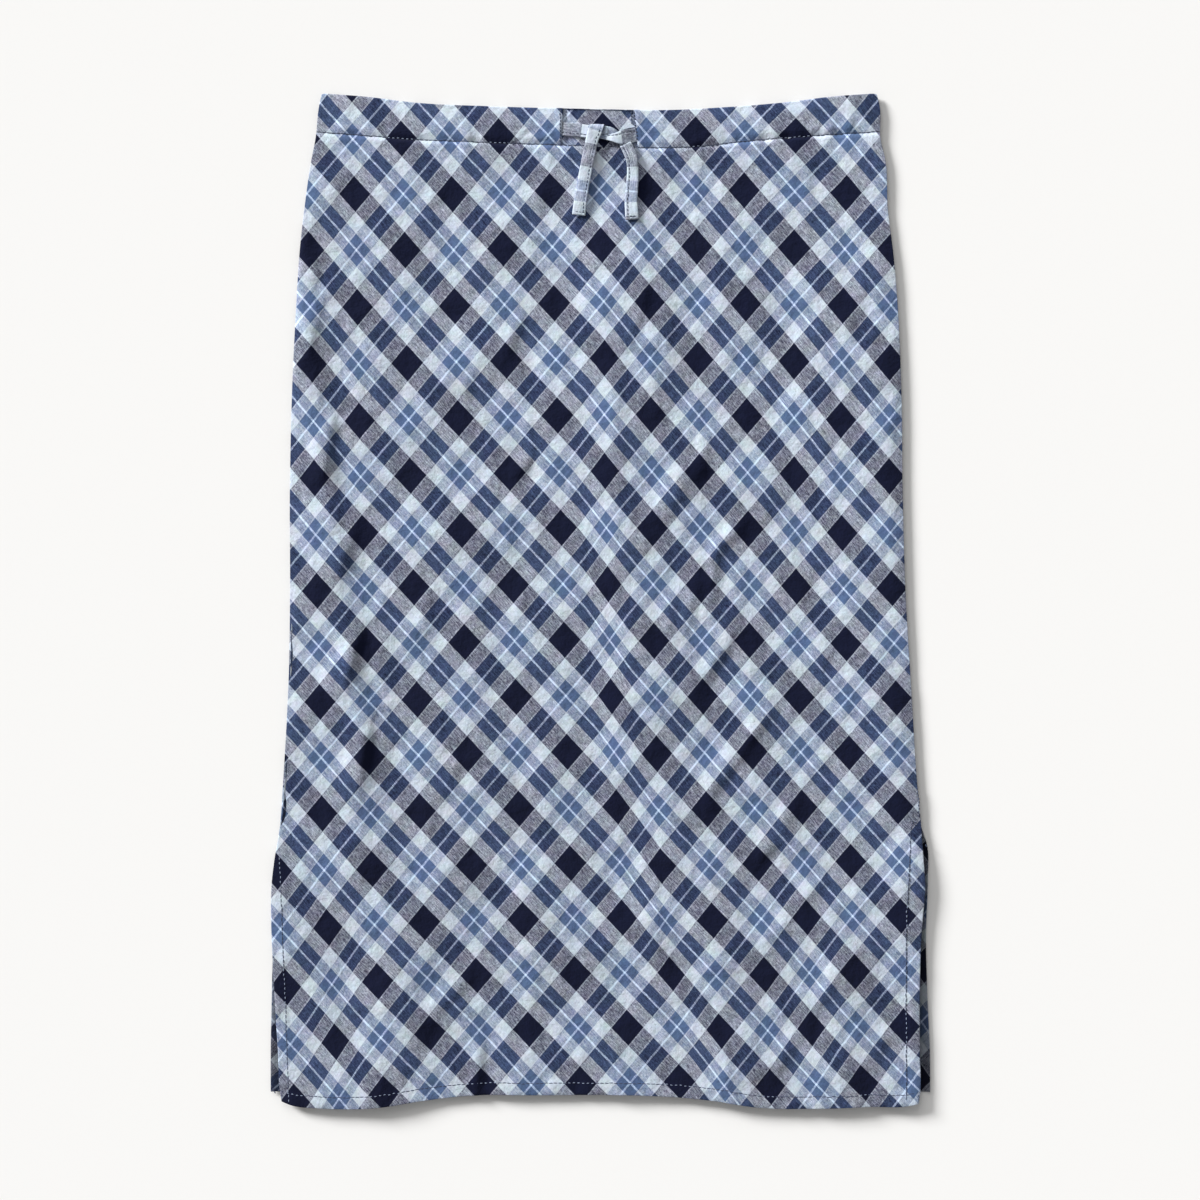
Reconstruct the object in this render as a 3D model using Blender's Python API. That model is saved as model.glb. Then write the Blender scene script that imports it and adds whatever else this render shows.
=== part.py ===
"""A bias-cut midi skirt, laid flat on its back with the front up.

The cloth is cut as a front panel and a back panel, sewn at both sides down to
the slits.  At the waist each panel is turned in to make a casing.  The front's
casing is open at the centre, where a flat drawstring comes out of its two ends
and is tied in a half knot, with the two tails hanging over the front.

Metres, +Z up.  +Y runs to the waist, +X to the right of the front, and the
origin is under the middle of the skirt, on the surface that it lies on.
"""

import math
from collections import namedtuple

import bmesh
import bpy
import numpy as np
from mathutils import Vector
from mathutils.bvhtree import BVHTree

# Driving sizes
LENGTH = 0.785           # highest point of the waist to lowest point of the hem
CLOTH = 0.001            # wall of one layer of cloth
SEAM_GAP = 0.0003        # air between two layers or pieces that touch
CASING_DEPTH = 0.0285    # waist fold down to the casing's stitch line
TURN_IN = 0.031          # waist fold down to the turned-in edge
FRONT_HEM_WIDTH = 0.496
FRONT_HEM_RISE = 0.0100  # middle of the front hem above its lowest waves
BACK_HEM_RISE = 0.0120   # back hem above the lowest point of the front hem
HEM_DEPTH = 0.010        # turned hem
SLIT_TURN = 0.0095       # turned edge of a slit
TURN_THICKNESS = 0.0004  # what a turned hem adds to the wall
TURN_INSIDE = 0.9        # share of a turn that is surely doubled on the grid
SLIT_TOP = -0.174        # height along Y where the side seams end
WINDOW_LEFT = -0.0300    # open centre of the front's casing
WINDOW_RIGHT = 0.0270
TIE_WIDTH = 0.0105       # flat drawstring
TIE_THICKNESS = 0.0010
TAIL_REST = 0.0004       # air under a tail that lies on the front
TAIL_SPOTS = (-0.55, -0.25, 0.0, 0.25, 0.55)  # shares of a tail's width
STEP_SPOTS = (-1.0, -0.5, 0.0, 0.5, 1.0)      # shares of a step along it
KNOT_SIZE = (0.0125, 0.0155, 0.0050)
KNOT_CENTRE = (-0.0020, 0.3635)
KNOT_ROUND = 0.0016
KNOT_TURN = math.radians(-12)
BAND_RISE = 0.15         # share of a band in the window before it rises to the knot

# How far the front stands off the back
BASE_LIFT = 0.0010
SLIT_LIFT = 0.0006
MOST_LIFT = 0.0034
SIDE_ROLL = 0.040        # width over which the front rises from a side seam
SIDE_START = -0.004      # the rise has begun by the seam itself
CASING_ROLL = 0.025      # the same inside the casing
SLIT_EASE = 0.030        # length over which the front lifts at a slit's top
FADE_IN = (-0.02, 0.05)  # a fold's fade from its lower end, along Y
FADE_OUT = (-0.06, 0.02)  # and to its upper end

# Places below the waist fold: the casing puffs up round the drawstring, is
# pressed flat at its stitching, and falls to the layer under it below that
CASING_RISE = (-0.004, 0.008)
CASING_PRESS = (0.024, CASING_DEPTH)
CASING_FALL = (0.034, 0.075)
TURN_DROPS = (TURN_IN, 0.024, 0.014, 0.005)
CASING_DROPS = (0.005, 0.010, 0.015, 0.020, 0.0245, CASING_DEPTH, 0.034, 0.044, 0.058, 0.075)
BACK_DROPS = (0.005, CASING_DEPTH, 0.060)

# Where the layers lie one over another at the waist
LAYER_STEP = CLOTH + SEAM_GAP
BACK_MID = CLOTH / 2
BACK_TURN_MID = BACK_MID + LAYER_STEP
FRONT_TURN_MID = BACK_MID + 2 * LAYER_STEP
FRONT_SEWN_MID = BACK_MID + 3 * LAYER_STEP
TIE_ROOM = TIE_THICKNESS + SEAM_GAP

# The outline's sides, from the waist down to the hem
Side = namedtuple("Side", "y left right")
FRONT_SIDES = (
    Side(0.3925, -0.2155, 0.2135),
    Side(0.3817, -0.2178, 0.2160),
    Side(0.3569, -0.2205, 0.2166),
    Side(0.3414, -0.2236, 0.2203),
    Side(0.3042, -0.2290, 0.2222),
    Side(0.2670, -0.2329, 0.2267),
    Side(0.2298, -0.2352, 0.2298),
    Side(0.1554, -0.2388, 0.2329),
    Side(0.0810, -0.2404, 0.2338),
    Side(0.0066, -0.2402, 0.2360),
    Side(-0.0678, -0.2416, 0.2404),
    Side(-0.1422, -0.2458, 0.2450),
    Side(-0.1740, -0.2480, 0.2480),
    Side(-0.2027, -0.2526, 0.2498),
    Side(-0.2197, -0.2545, 0.2510),
    Side(-0.2468, -0.2548, 0.2490),
    Side(-0.2709, -0.2540, 0.2476),
    Side(-0.3073, -0.2522, 0.2468),
    Side(-0.3484, -0.2495, 0.2468),
    Side(-0.3925, -0.2465, 0.2465),
)
BACK_SLIT_SIDES = (
    Side(-0.1740, -0.2480, 0.2482),
    Side(-0.1900, -0.2500, 0.2530),
    Side(-0.2150, -0.2525, 0.2535),
    Side(-0.2600, -0.2535, 0.2520),
    Side(-0.3073, -0.2545, 0.2532),
    Side(-0.3484, -0.2553, 0.2550),
    Side(-0.3925, -0.2552, 0.2552),
)

# The waist dips towards the centre, and the front's hem runs in two waves.
# "across" is 0 at the left side and 1 at the right.
Edge = namedtuple("Edge", "across offset")
WAIST_DIP = (
    Edge(0.00, 0.0000),
    Edge(0.08, 0.0027),
    Edge(0.16, 0.0068),
    Edge(0.30, 0.0098),
    Edge(0.50, 0.0120),
    Edge(0.62, 0.0128),
    Edge(0.73, 0.0105),
    Edge(0.85, 0.0062),
    Edge(0.92, 0.0025),
    Edge(1.00, 0.0000),
)
HEM_RISE = (
    Edge(0.00, 0.0040),
    Edge(0.06, 0.0000),
    Edge(0.15, 0.0006),
    Edge(0.22, 0.0056),
    Edge(0.30, 0.0097),
    Edge(0.40, FRONT_HEM_RISE),
    Edge(0.60, 0.0090),
    Edge(0.68, 0.0056),
    Edge(0.75, 0.0006),
    Edge(0.85, 0.0000),
    Edge(0.92, 0.0011),
    Edge(1.00, 0.0036),
)

# The front's largest folds.  Each crest is a curve through three or more
# (x, y) places, from the waist down.  A negative height is a trough.
Fold = namedtuple("Fold", "name height half_width crest")
FOLDS = (
    Fold("centre ridge", 0.0017, 0.028,
         ((0.000, 0.290), (0.009, 0.163), (0.031, 0.078), (0.042, 0.008),
          (0.050, -0.069), (0.056, -0.155), (0.092, -0.217), (0.150, -0.340))),
    Fold("left ridge", 0.0013, 0.017,
         ((-0.214, 0.285), (-0.212, 0.117), (-0.202, 0.000),
          (-0.190, -0.124), (-0.196, -0.215))),
    Fold("left trough", -0.0006, 0.016,
         ((-0.065, 0.220), (-0.055, 0.117), (-0.078, -0.083),
          (-0.062, -0.155), (-0.126, -0.320))),
    Fold("right roll", 0.0009, 0.026,
         ((0.196, 0.320), (0.203, 0.080), (0.214, -0.150))),
    Fold("left hem wave", 0.0020, 0.034,
         ((-0.150, -0.240), (-0.160, -0.330), (-0.167, -0.420))),
    Fold("right hem wave", 0.0018, 0.036,
         ((0.195, -0.250), (0.190, -0.330), (0.180, -0.420))),
    Fold("slanting fold", 0.0016, 0.014,
         ((0.042, -0.205), (0.054, -0.289), (0.091, -0.332), (0.108, -0.420))),
)

# The drawstring's routes.  "width" is a share of its full width.
Station = namedtuple("Station", "x y width")
LEFT_BAND = (
    Station(-0.0395, 0.3655, 1.00),
    Station(-0.0298, 0.3649, 1.00),
    Station(-0.0190, 0.3640, 0.98),
    Station(-0.0090, 0.3628, 0.93),
)
RIGHT_BAND = (
    Station(0.0365, 0.3628, 1.00),
    Station(0.0267, 0.3617, 0.98),
    Station(0.0150, 0.3607, 0.81),
    Station(0.0060, 0.3605, 0.53),
)
LEFT_TAIL = (
    Station(-0.0072, 0.3526, 1.00),
    Station(-0.0093, 0.3437, 1.07),
    Station(-0.0116, 0.3344, 1.05),
    Station(-0.0136, 0.3236, 1.02),
    Station(-0.0151, 0.3127, 0.99),
    Station(-0.0169, 0.2972, 0.95),
)
RIGHT_TAIL = (
    Station(0.0198, 0.3532, 0.98),
    Station(0.0221, 0.3476, 0.99),
    Station(0.0248, 0.3375, 0.98),
    Station(0.0252, 0.3275, 0.97),
    Station(0.0244, 0.3166, 0.95),
    Station(0.0236, 0.2942, 0.91),
)

# How finely the surfaces are divided
SIDE_COLUMNS = 12        # front columns on each side of the window
WINDOW_COLUMNS = 6
SIDE_CROWDING = 0.32     # 0 crowds a side's columns to the seam, 1 spaces them evenly
BACK_COLUMNS = 14
BODY_ROWS = 34
BACK_ROWS = 13
TURN_ROWS = 5
TIE_STEP = 0.0045
SMOOTH_ANGLE = math.radians(40)

FRONT_COLOUR = (0.175, 0.225, 0.340, 1.0)
BACK_COLOUR = (0.150, 0.195, 0.300, 1.0)
TIE_COLOUR = (0.330, 0.380, 0.480, 1.0)
CLOTH_ROUGHNESS = 0.85


def curve(at, places, values):
    """Smooth curve through a table's rising places and their values."""
    places = np.asarray(places, float)
    values = np.asarray(values, float)
    slopes = np.gradient(values, places)
    k = np.clip(np.searchsorted(places, at) - 1, 0, len(places) - 2)
    span = places[k + 1] - places[k]
    t = np.clip((at - places[k]) / span, 0.0, 1.0)
    start = (2 * t**3 - 3 * t**2 + 1) * values[k] + (t**3 - 2 * t**2 + t) * span * slopes[k]
    end = (3 * t**2 - 2 * t**3) * values[k + 1] + (t**3 - t**2) * span * slopes[k + 1]
    return start + end


def ease(value, low, high):
    """0 below low, 1 above high, and a soft S between them."""
    t = np.clip((value - low) / (high - low), 0.0, 1.0)
    return t * t * (3 - 2 * t)


def side_lines(y, sides):
    """X of the left and right outline at each y."""
    rising = sorted(sides)
    places = [side.y for side in rising]
    left = curve(y, places, [side.left for side in rising])
    right = curve(y, places, [side.right for side in rising])
    return left, right


def edge_offset(across, table):
    return curve(across, [edge.across for edge in table], [edge.offset for edge in table])


def waist_line(across):
    """Y of the waist fold, with half a wall left for the cloth's thickness."""
    return LENGTH / 2 - CLOTH / 2 - edge_offset(across, WAIST_DIP)


def front_hem_line(across):
    return -LENGTH / 2 + edge_offset(across, HEM_RISE)


def back_hem_line(across):
    return -LENGTH / 2 + BACK_HEM_RISE + 0 * across


def fold_height(x, y):
    """Sum of the folds: each a bell across its crest, faded at its ends."""
    total = np.zeros_like(x)
    for fold in FOLDS:
        crest = np.array(sorted(fold.crest, key=lambda place: place[1]))
        middle = curve(y, crest[:, 1], crest[:, 0])
        low, high = crest[0, 1], crest[-1, 1]
        fade = ease(y, low + FADE_IN[0], low + FADE_IN[1])
        fade *= 1 - ease(y, high + FADE_OUT[0], high + FADE_OUT[1])
        total += fold.height * fade * np.exp(-((x - middle) / fold.half_width) ** 2)
    return total


def front_mid_height(x, y, drop):
    """Height of the middle of the front's wall, a distance drop below the fold."""
    left, right = side_lines(y, FRONT_SIDES)
    from_side = np.minimum(x - left, right - x)

    in_slit = 1 - ease(y, SLIT_TOP - SLIT_EASE, SLIT_TOP)
    roll = ease(from_side, SIDE_START, SIDE_ROLL)
    lift = roll * (BASE_LIFT + fold_height(x, y)) + SLIT_LIFT * in_slit
    body = BACK_MID + LAYER_STEP + np.clip(lift, 0.0, MOST_LIFT)

    crown = ease(drop, *CASING_RISE) * (1 - ease(drop, *CASING_PRESS))
    casing = FRONT_SEWN_MID + TIE_ROOM * crown * ease(from_side, 0.0, CASING_ROLL)
    fall = ease(drop, *CASING_FALL)
    return casing * (1 - fall) + body * fall


def surface_normals(middle):
    """Unit normals of a grid of points, from the slopes along and across it."""
    along = np.gradient(middle, axis=0)
    over = np.gradient(middle, axis=1)
    normal = np.cross(along, over)
    return normal / np.linalg.norm(normal, axis=2, keepdims=True)


def material(name, colour):
    result = bpy.data.materials.new(name)
    result.use_nodes = True
    shader = result.node_tree.nodes["Principled BSDF"]
    shader.inputs["Base Color"].default_value = colour
    shader.inputs["Roughness"].default_value = CLOTH_ROUGHNESS
    shader.inputs["Metallic"].default_value = 0.0
    result.diffuse_color = colour
    return result


def add_object(name, mesh_data, finish):
    """Turn a bmesh into an object with its faces outward and smooth shading."""
    if mesh_data.calc_volume(signed=True) < 0:
        bmesh.ops.reverse_faces(mesh_data, faces=mesh_data.faces)
    mesh = bpy.data.meshes.new(name)
    mesh_data.to_mesh(mesh)
    mesh_data.free()
    mesh.materials.append(finish)
    mesh.shade_smooth()
    mesh.set_sharp_from_angle(angle=SMOOTH_ANGLE)
    item = bpy.data.objects.new(name, mesh)
    bpy.context.scene.collection.objects.link(item)
    return item


def wall(name, middle, over, under, keep, finish):
    """Closed cloth wall on a grid of middle points.

    over and under are the wall's reach to either side of the middle, and keep
    says which cells of the grid are cloth, so that a window is a hole.
    """
    normal = surface_normals(middle)
    upper = middle + normal * over[..., None]
    lower = middle - normal * under[..., None]
    count = middle.shape[0] * middle.shape[1]
    index = np.arange(count).reshape(middle.shape[:2])
    corners = (index[:-1, :-1], index[:-1, 1:], index[1:, 1:], index[1:, :-1])
    cells = np.stack([corner[keep] for corner in corners], axis=1)

    ends = np.roll(cells, -1, axis=1)
    starts = cells.ravel()
    ends = ends.ravel()
    border = ~np.isin(ends * count + starts, starts * count + ends)
    first, last = starts[border], ends[border]
    rims = np.stack([last, first, first + count, last + count], axis=1)

    mesh = bpy.data.meshes.new(name + "_grid")
    points = np.concatenate([upper.reshape(-1, 3), lower.reshape(-1, 3)])
    faces = np.concatenate([cells, cells[:, ::-1] + count, rims])
    mesh.from_pydata(points.tolist(), [], faces.tolist())
    body = bmesh.new()
    body.from_mesh(mesh)
    bpy.data.meshes.remove(mesh)
    unused = [vert for vert in body.verts if not vert.link_faces]
    bmesh.ops.delete(body, geom=unused, context="VERTS")
    bmesh.ops.triangulate(body, faces=body.faces)
    return add_object(name, body, finish)


def rows_of(drops, across):
    """The same drop below the fold for every place across."""
    return np.repeat(np.array(drops)[:, None], len(across), axis=1)


def turned_rows(across, lower_mid, upper_mid):
    """Drop and height of the turned-in layer and of the fold at the waist.

    The layer runs up from its edge, and the fold is a half circle from the
    turned-in layer's level to the outer layer's.
    """
    radius = (upper_mid - lower_mid) / 2
    drop = rows_of(TURN_DROPS, across)
    height = np.full_like(drop, lower_mid)
    angles = np.linspace(-math.pi / 2, math.pi / 2, TURN_ROWS)[:, None]
    turn_drop = np.abs(radius) * (1 - np.cos(angles))
    turn_height = (lower_mid + upper_mid) / 2 + radius * np.sin(angles)
    return np.concatenate([drop, turn_drop]), np.concatenate([height, turn_height])


def panel_grid(across, drop, waist, hem, body_shares, sides):
    """X and Y of a panel's points, from the rows near the waist down to the hem.

    drop holds the rows measured from the waist fold, and body_shares the rest
    of the way from the last of them to the hem, from 0 to 1.
    """
    near_waist = waist - drop
    last = near_waist[-1:]
    body = last + (hem - last) * body_shares[:, None]
    y = np.concatenate([near_waist, body])
    left, right = side_lines(y, sides)
    x = left + (right - left) * across
    return x, y, waist - y


def side_columns(reach):
    """Places from a side of the front to its window, closer at the side.

    The first column is as wide as a slit's turned edge, and the rest follow a
    quarter wave, so that each is a little wider than the one before.
    """
    turned = SLIT_TURN / FRONT_HEM_WIDTH
    wave = np.sin(np.linspace(SIDE_CROWDING, 1.0, SIDE_COLUMNS) * math.pi / 2)
    wave = 1 - (wave[::-1] - wave[0]) / (wave[-1] - wave[0])
    return np.concatenate([[0.0], turned + (reach - turned) * wave])


def front_columns():
    """Places across the front, with the window's two edges among them."""
    middle_of_casing = np.array([LENGTH / 2 - CASING_DEPTH])
    left, right = (line[0] for line in side_lines(middle_of_casing, FRONT_SIDES))
    low = (WINDOW_LEFT - left) / (right - left)
    high = (WINDOW_RIGHT - left) / (right - left)
    window = np.linspace(low, high, WINDOW_COLUMNS + 1)
    return np.concatenate([side_columns(low), window[1:-1], 1 - side_columns(1 - high)[::-1]])


def make_front(finish):
    """Front panel with its turned-in casing, window, hem and slit edges."""
    across = front_columns()
    waist = waist_line(across)[None, :]
    hem = front_hem_line(across)[None, :]

    fold_y = waist[0] - CLOTH
    left, right = side_lines(fold_y, FRONT_SIDES)
    fold_x = left + (right - left) * across
    fold_mid = front_mid_height(fold_x, fold_y, np.full_like(fold_x, CLOTH))
    drop, height = turned_rows(across, FRONT_TURN_MID, fold_mid[None, :])
    turned = len(drop)

    drop = np.concatenate([drop, rows_of(CASING_DROPS, across)])
    hem_share = HEM_DEPTH / (LENGTH - CASING_DROPS[-1])
    shares = np.linspace(0, 1 - hem_share, BODY_ROWS + 1)[1:]
    shares = np.append(shares, [1 - hem_share / 2, 1.0])
    x, y, drops = panel_grid(across[None, :], drop, waist, hem, shares, FRONT_SIDES)

    z = front_mid_height(x, y, drops)
    z[:turned] = height
    middle = np.stack([x, y, z], axis=2)

    left, right = side_lines(y, FRONT_SIDES)
    in_hem = y - hem < HEM_DEPTH * TURN_INSIDE
    in_slit = (np.minimum(x - left, right - x) < SLIT_TURN * TURN_INSIDE) & (y < SLIT_TOP)
    doubled = in_hem | in_slit
    doubled[:turned] = False
    over = CLOTH / 2 + TURN_THICKNESS * doubled

    keep = np.ones((len(y) - 1, len(across) - 1), bool)
    fold_middle = turned - TURN_ROWS // 2 - 1
    sewn_row = turned + CASING_DROPS.index(CASING_DEPTH)
    keep[fold_middle:sewn_row, SIDE_COLUMNS:SIDE_COLUMNS + WINDOW_COLUMNS] = False
    return wall("front_panel", middle, over, np.full_like(over, CLOTH / 2), keep, finish)


def make_back(finish):
    """Back panel, flat where it rests, with its turned-in casing above it."""
    even = np.linspace(0, 1, BACK_COLUMNS + 1)
    across = (even + (1 - np.cos(even * math.pi)) / 2) / 2
    waist = waist_line(across)[None, :]
    hem = back_hem_line(across)[None, :]
    drop, height = turned_rows(across, BACK_TURN_MID, np.full((1, len(across)), BACK_MID))
    turned = len(drop)

    drop = np.concatenate([drop, rows_of(BACK_DROPS, across)])
    shares = np.linspace(0, 1, BACK_ROWS + 1)[1:]
    sides = [side for side in FRONT_SIDES if side.y > SLIT_TOP] + list(BACK_SLIT_SIDES)
    x, y, _ = panel_grid(across[None, :], drop, waist, hem, shares, sides)
    z = np.full_like(x, BACK_MID)
    z[:turned] = height
    middle = np.stack([x, y, z], axis=2)
    reach = np.full_like(x, CLOTH / 2)
    keep = np.ones((len(y) - 1, len(across) - 1), bool)
    return wall("back_panel", middle, reach, reach, keep, finish)


def route(stations):
    """Evenly spaced points and widths on a smooth curve through the stations."""
    table = np.array(stations) * (1.0, 1.0, TIE_WIDTH)
    chords = np.linalg.norm(np.diff(table[:, :2], axis=0), axis=1)
    along = np.concatenate([[0.0], np.cumsum(chords)])
    count = max(3, int(round(along[-1] / TIE_STEP)) + 1)
    places = np.linspace(0, along[-1], count)
    return np.stack([curve(places, along, table[:, k]) for k in range(3)], axis=1)


def band(name, line, heights, finish):
    """Flat strip: each point of the line, widened square to the path."""
    centres = np.column_stack([line[:, :2], heights])
    tangent = np.gradient(centres[:, :2], axis=0)
    tangent /= np.linalg.norm(tangent, axis=1, keepdims=True)
    side = np.column_stack([-tangent[:, 1], tangent[:, 0], np.zeros(len(line))])
    spread = np.array([-0.5, 0.0, 0.5])[None, :, None]
    middle = centres[:, None, :] + side[:, None, :] * line[:, 2][:, None, None] * spread
    reach = np.full(middle.shape[:2], TIE_THICKNESS / 2)
    keep = np.ones((len(line) - 1, 2), bool)
    return wall(name, middle, reach, reach, keep, finish)


def top_of(surface, x, y):
    """Height where a plumb line from above meets the surface."""
    place, _, _, _ = surface.ray_cast(Vector((x, y, 1.0)), Vector((0.0, 0.0, -1.0)))
    return place.z


def resting_heights(line, surface):
    """Middle height of a strip that lies on a surface.

    Each point clears the highest of a few spots round it, so that the flat
    strip never cuts a ridge or the edge of the window.
    """
    heights = []
    for x, y, width in line:
        spots = [(x + width * over, y + TIE_STEP * along)
                 for over in TAIL_SPOTS for along in STEP_SPOTS]
        highest = max(top_of(surface, *spot) for spot in spots)
        heights.append(highest + TAIL_REST + TIE_THICKNESS / 2)
    return np.array(heights)


def make_bands(finish):
    """The two stretches of drawstring that come out of the casing's ends."""
    window_mid = FRONT_TURN_MID + CLOTH / 2 + SEAM_GAP + TIE_THICKNESS / 2
    rise = KNOT_SIZE[2] / 2 - TIE_THICKNESS / 2
    for name, stations, near in (("drawstring_left_band", LEFT_BAND, WINDOW_LEFT),
                                 ("drawstring_right_band", RIGHT_BAND, WINDOW_RIGHT)):
        line = route(stations)
        inward = np.abs(line[:, 0] - near) * (np.abs(line[:, 0]) < abs(near))
        most = inward.max()
        heights = window_mid + rise * ease(inward, BAND_RISE * most, most)
        band(name, line, heights, finish)


def make_tails(front, finish):
    """The two hanging ends, lying on the front."""
    body = bmesh.new()
    body.from_mesh(front.data)
    surface = BVHTree.FromBMesh(body)
    for name, stations in (("drawstring_left_tail", LEFT_TAIL),
                           ("drawstring_right_tail", RIGHT_TAIL)):
        line = route(stations)
        band(name, line, resting_heights(line, surface), finish)
    body.free()


def make_knot(finish):
    """The half knot, as one rounded pad over the turned-in layer."""
    body = bmesh.new()
    bmesh.ops.create_cube(body, size=1.0)
    bmesh.ops.scale(body, vec=KNOT_SIZE, verts=body.verts)
    bmesh.ops.bevel(body, geom=body.edges[:] + body.verts[:], offset=KNOT_ROUND,
                    segments=3, affect="EDGES", profile=0.5)
    turn = np.array([[math.cos(KNOT_TURN), -math.sin(KNOT_TURN)],
                     [math.sin(KNOT_TURN), math.cos(KNOT_TURN)]])
    low = FRONT_TURN_MID + CLOTH / 2 + SEAM_GAP
    for vert in body.verts:
        x, y = turn @ np.array(vert.co[:2])
        vert.co = (x + KNOT_CENTRE[0], y + KNOT_CENTRE[1], vert.co.z + low + KNOT_SIZE[2] / 2)
    bmesh.ops.triangulate(body, faces=body.faces)
    return add_object("drawstring_knot", body, finish)


def main():
    for item in list(bpy.data.objects):
        bpy.data.objects.remove(item)
    front = make_front(material("front_plaid", FRONT_COLOUR))
    make_back(material("back_plaid", BACK_COLOUR))
    tie = material("tie_cloth", TIE_COLOUR)
    make_bands(tie)
    make_knot(tie)
    make_tails(front, tie)


main()
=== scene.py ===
import math
from collections import namedtuple

import bpy
import numpy as np
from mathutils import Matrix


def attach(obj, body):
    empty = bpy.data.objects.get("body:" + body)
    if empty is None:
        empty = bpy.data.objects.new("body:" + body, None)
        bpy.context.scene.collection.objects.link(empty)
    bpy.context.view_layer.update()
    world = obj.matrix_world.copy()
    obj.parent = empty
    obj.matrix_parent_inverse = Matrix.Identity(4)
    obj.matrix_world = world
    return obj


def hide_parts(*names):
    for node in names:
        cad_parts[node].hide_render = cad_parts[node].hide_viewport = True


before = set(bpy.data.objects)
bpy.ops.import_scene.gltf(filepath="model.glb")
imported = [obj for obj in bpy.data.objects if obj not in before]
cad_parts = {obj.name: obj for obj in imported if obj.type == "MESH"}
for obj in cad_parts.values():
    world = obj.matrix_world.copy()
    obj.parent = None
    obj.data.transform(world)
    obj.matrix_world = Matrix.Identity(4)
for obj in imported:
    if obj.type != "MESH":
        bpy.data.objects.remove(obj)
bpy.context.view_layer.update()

bl_info = {
    "name": "Plaid Midi Skirt",
    "version": (1, 0, 0),
    "blender": (4, 5, 0),
    "location": "View3D > Sidebar > Skirt",
    "description": "Makes a bias-cut plaid midi skirt with a tied casing, laid flat",
    "category": "Object",
}

BODY = "root"

# The skirt's own sizes, in metres, +Y to the waist and +Z out of its front
LENGTH = 0.785
CAD_WALL = 0.001
SEAM_GAP = 0.0003
LAYER_STEP = CAD_WALL + SEAM_GAP
BACK_TURN_MID = CAD_WALL / 2 + LAYER_STEP
FRONT_TURN_MID = CAD_WALL / 2 + 2 * LAYER_STEP
FRONT_SEWN_MID = CAD_WALL / 2 + 3 * LAYER_STEP
SEAM_HEIGHT = 0.0042      # where the side seams stand out furthest
LEAST_FRONT = 0.0014      # the front's middle is never lower than this
CASING_DEPTH = 0.0285
TURN_IN = 0.031
HEM_DEPTH = 0.0100
HEM_STITCH = HEM_DEPTH * 0.93
STITCH_RISE = 0.0004      # how far above the panels' join the casing is stitched
SLIT_TURN = 0.0095
TURN_SWELL = 0.9          # how much thicker the cloth is where it is turned over
FRONT_TURN_RISE = 0.25    # how far its middle rises there, in layers of cloth
BACK_TURN_RISE = 0.45
TUCK_INSET = 0.0035       # how far a turned-in layer stops short of the side seams
SEAM_ROLL = 0.0040        # width over which the front turns down to the side seams
SLIT_TOP = -0.174
BODY_LIFT = 0.0018        # how far the front's middle stands off the back
HEM_LIFT = 0.0012         # how much more it does at the hem
SLIT_LIFT = 0.0008        # how much more its edges do below the slits' tops
CASING_PUFF = 0.0011      # how far the casing stands up over the drawstring
FOLD_ROLL = 0.0042        # width over which its fold at the waist turns down to them
WINDOW_SWELL = 0.8        # how much thicker its outer layer is beside the window
SLIT_CURL = 0.0022        # how far the back's left slit edge lifts off the floor
RIM_CURL = 0.0014         # and its right slit edge, at the very rim
FLAP_LIFT = 0.0019        # how far the front stands off it at the right slit
BACK_PAINTED_SHADE = 0.62         # painted shade: how much darker the back's colour is made, for the shade of the front's edges
BACK_SEAM_INSET = 0.0012  # how far the back stops short of the front's side seams
BACK_SEAM_DROP = 0.0009   # how far below SEAM_HEIGHT its middle stays at the seams
BACK_LIFT = 0.00005       # air under the back
BACK_HEM_RISE = 0.0120
BACK_STEP = 0.0050        # distance between the back's grid lines
ROW_STEP = 1.33           # distance between the front's rows, in steps across it
BODY_RIM = 0.0004         # the front's side edges are rounded over this width
SPLIT_GAP = 0.00005       # half the split that the window's folded edges start from
FOLD_PLACE = 0.0012       # how far below the waist the casing's fold takes its height
WINDOW_LEFT = -0.0298
WINDOW_RIGHT = 0.0252
WINDOW_SLANT = 0.0038     # how much further right the window's right edge ends
WINDOW_Y = 0.365          # the height at which the window's edges are set out
TIE_WIDTH = 0.0105
TIE_STITCH = 0.56         # of half its width, from the middle to its edge stitching
TIE_STITCHED_EDGE = -1    # the one of its two edges that is stitched
TIE_END_STITCH = 0.0026   # from a tail's end to the stitching across it
GRID_WIDTH = 0.50         # rounded width that lines across the skirt are spaced by

Side = namedtuple("Side", "y left right")
FRONT_SIDES = (
    Side(0.3925, -0.2155, 0.2135),
    Side(0.3817, -0.2178, 0.2160),
    Side(0.3569, -0.2205, 0.2166),
    Side(0.3414, -0.2236, 0.2203),
    Side(0.3042, -0.2290, 0.2222),
    Side(0.2670, -0.2329, 0.2267),
    Side(0.2298, -0.2352, 0.2298),
    Side(0.1554, -0.2388, 0.2329),
    Side(0.0810, -0.2404, 0.2338),
    Side(0.0066, -0.2402, 0.2360),
    Side(-0.0678, -0.2416, 0.2404),
    Side(-0.1422, -0.2458, 0.2450),
    Side(-0.1740, -0.2480, 0.2480),
    Side(-0.2027, -0.2526, 0.2498),
    Side(-0.2197, -0.2545, 0.2510),
    Side(-0.2468, -0.2548, 0.2490),
    Side(-0.2709, -0.2540, 0.2476),
    Side(-0.3073, -0.2522, 0.2468),
    Side(-0.3484, -0.2495, 0.2468),
    Side(-0.3840, -0.2472, 0.2466),
    Side(-0.3925, -0.2455, 0.2450),
)
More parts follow.
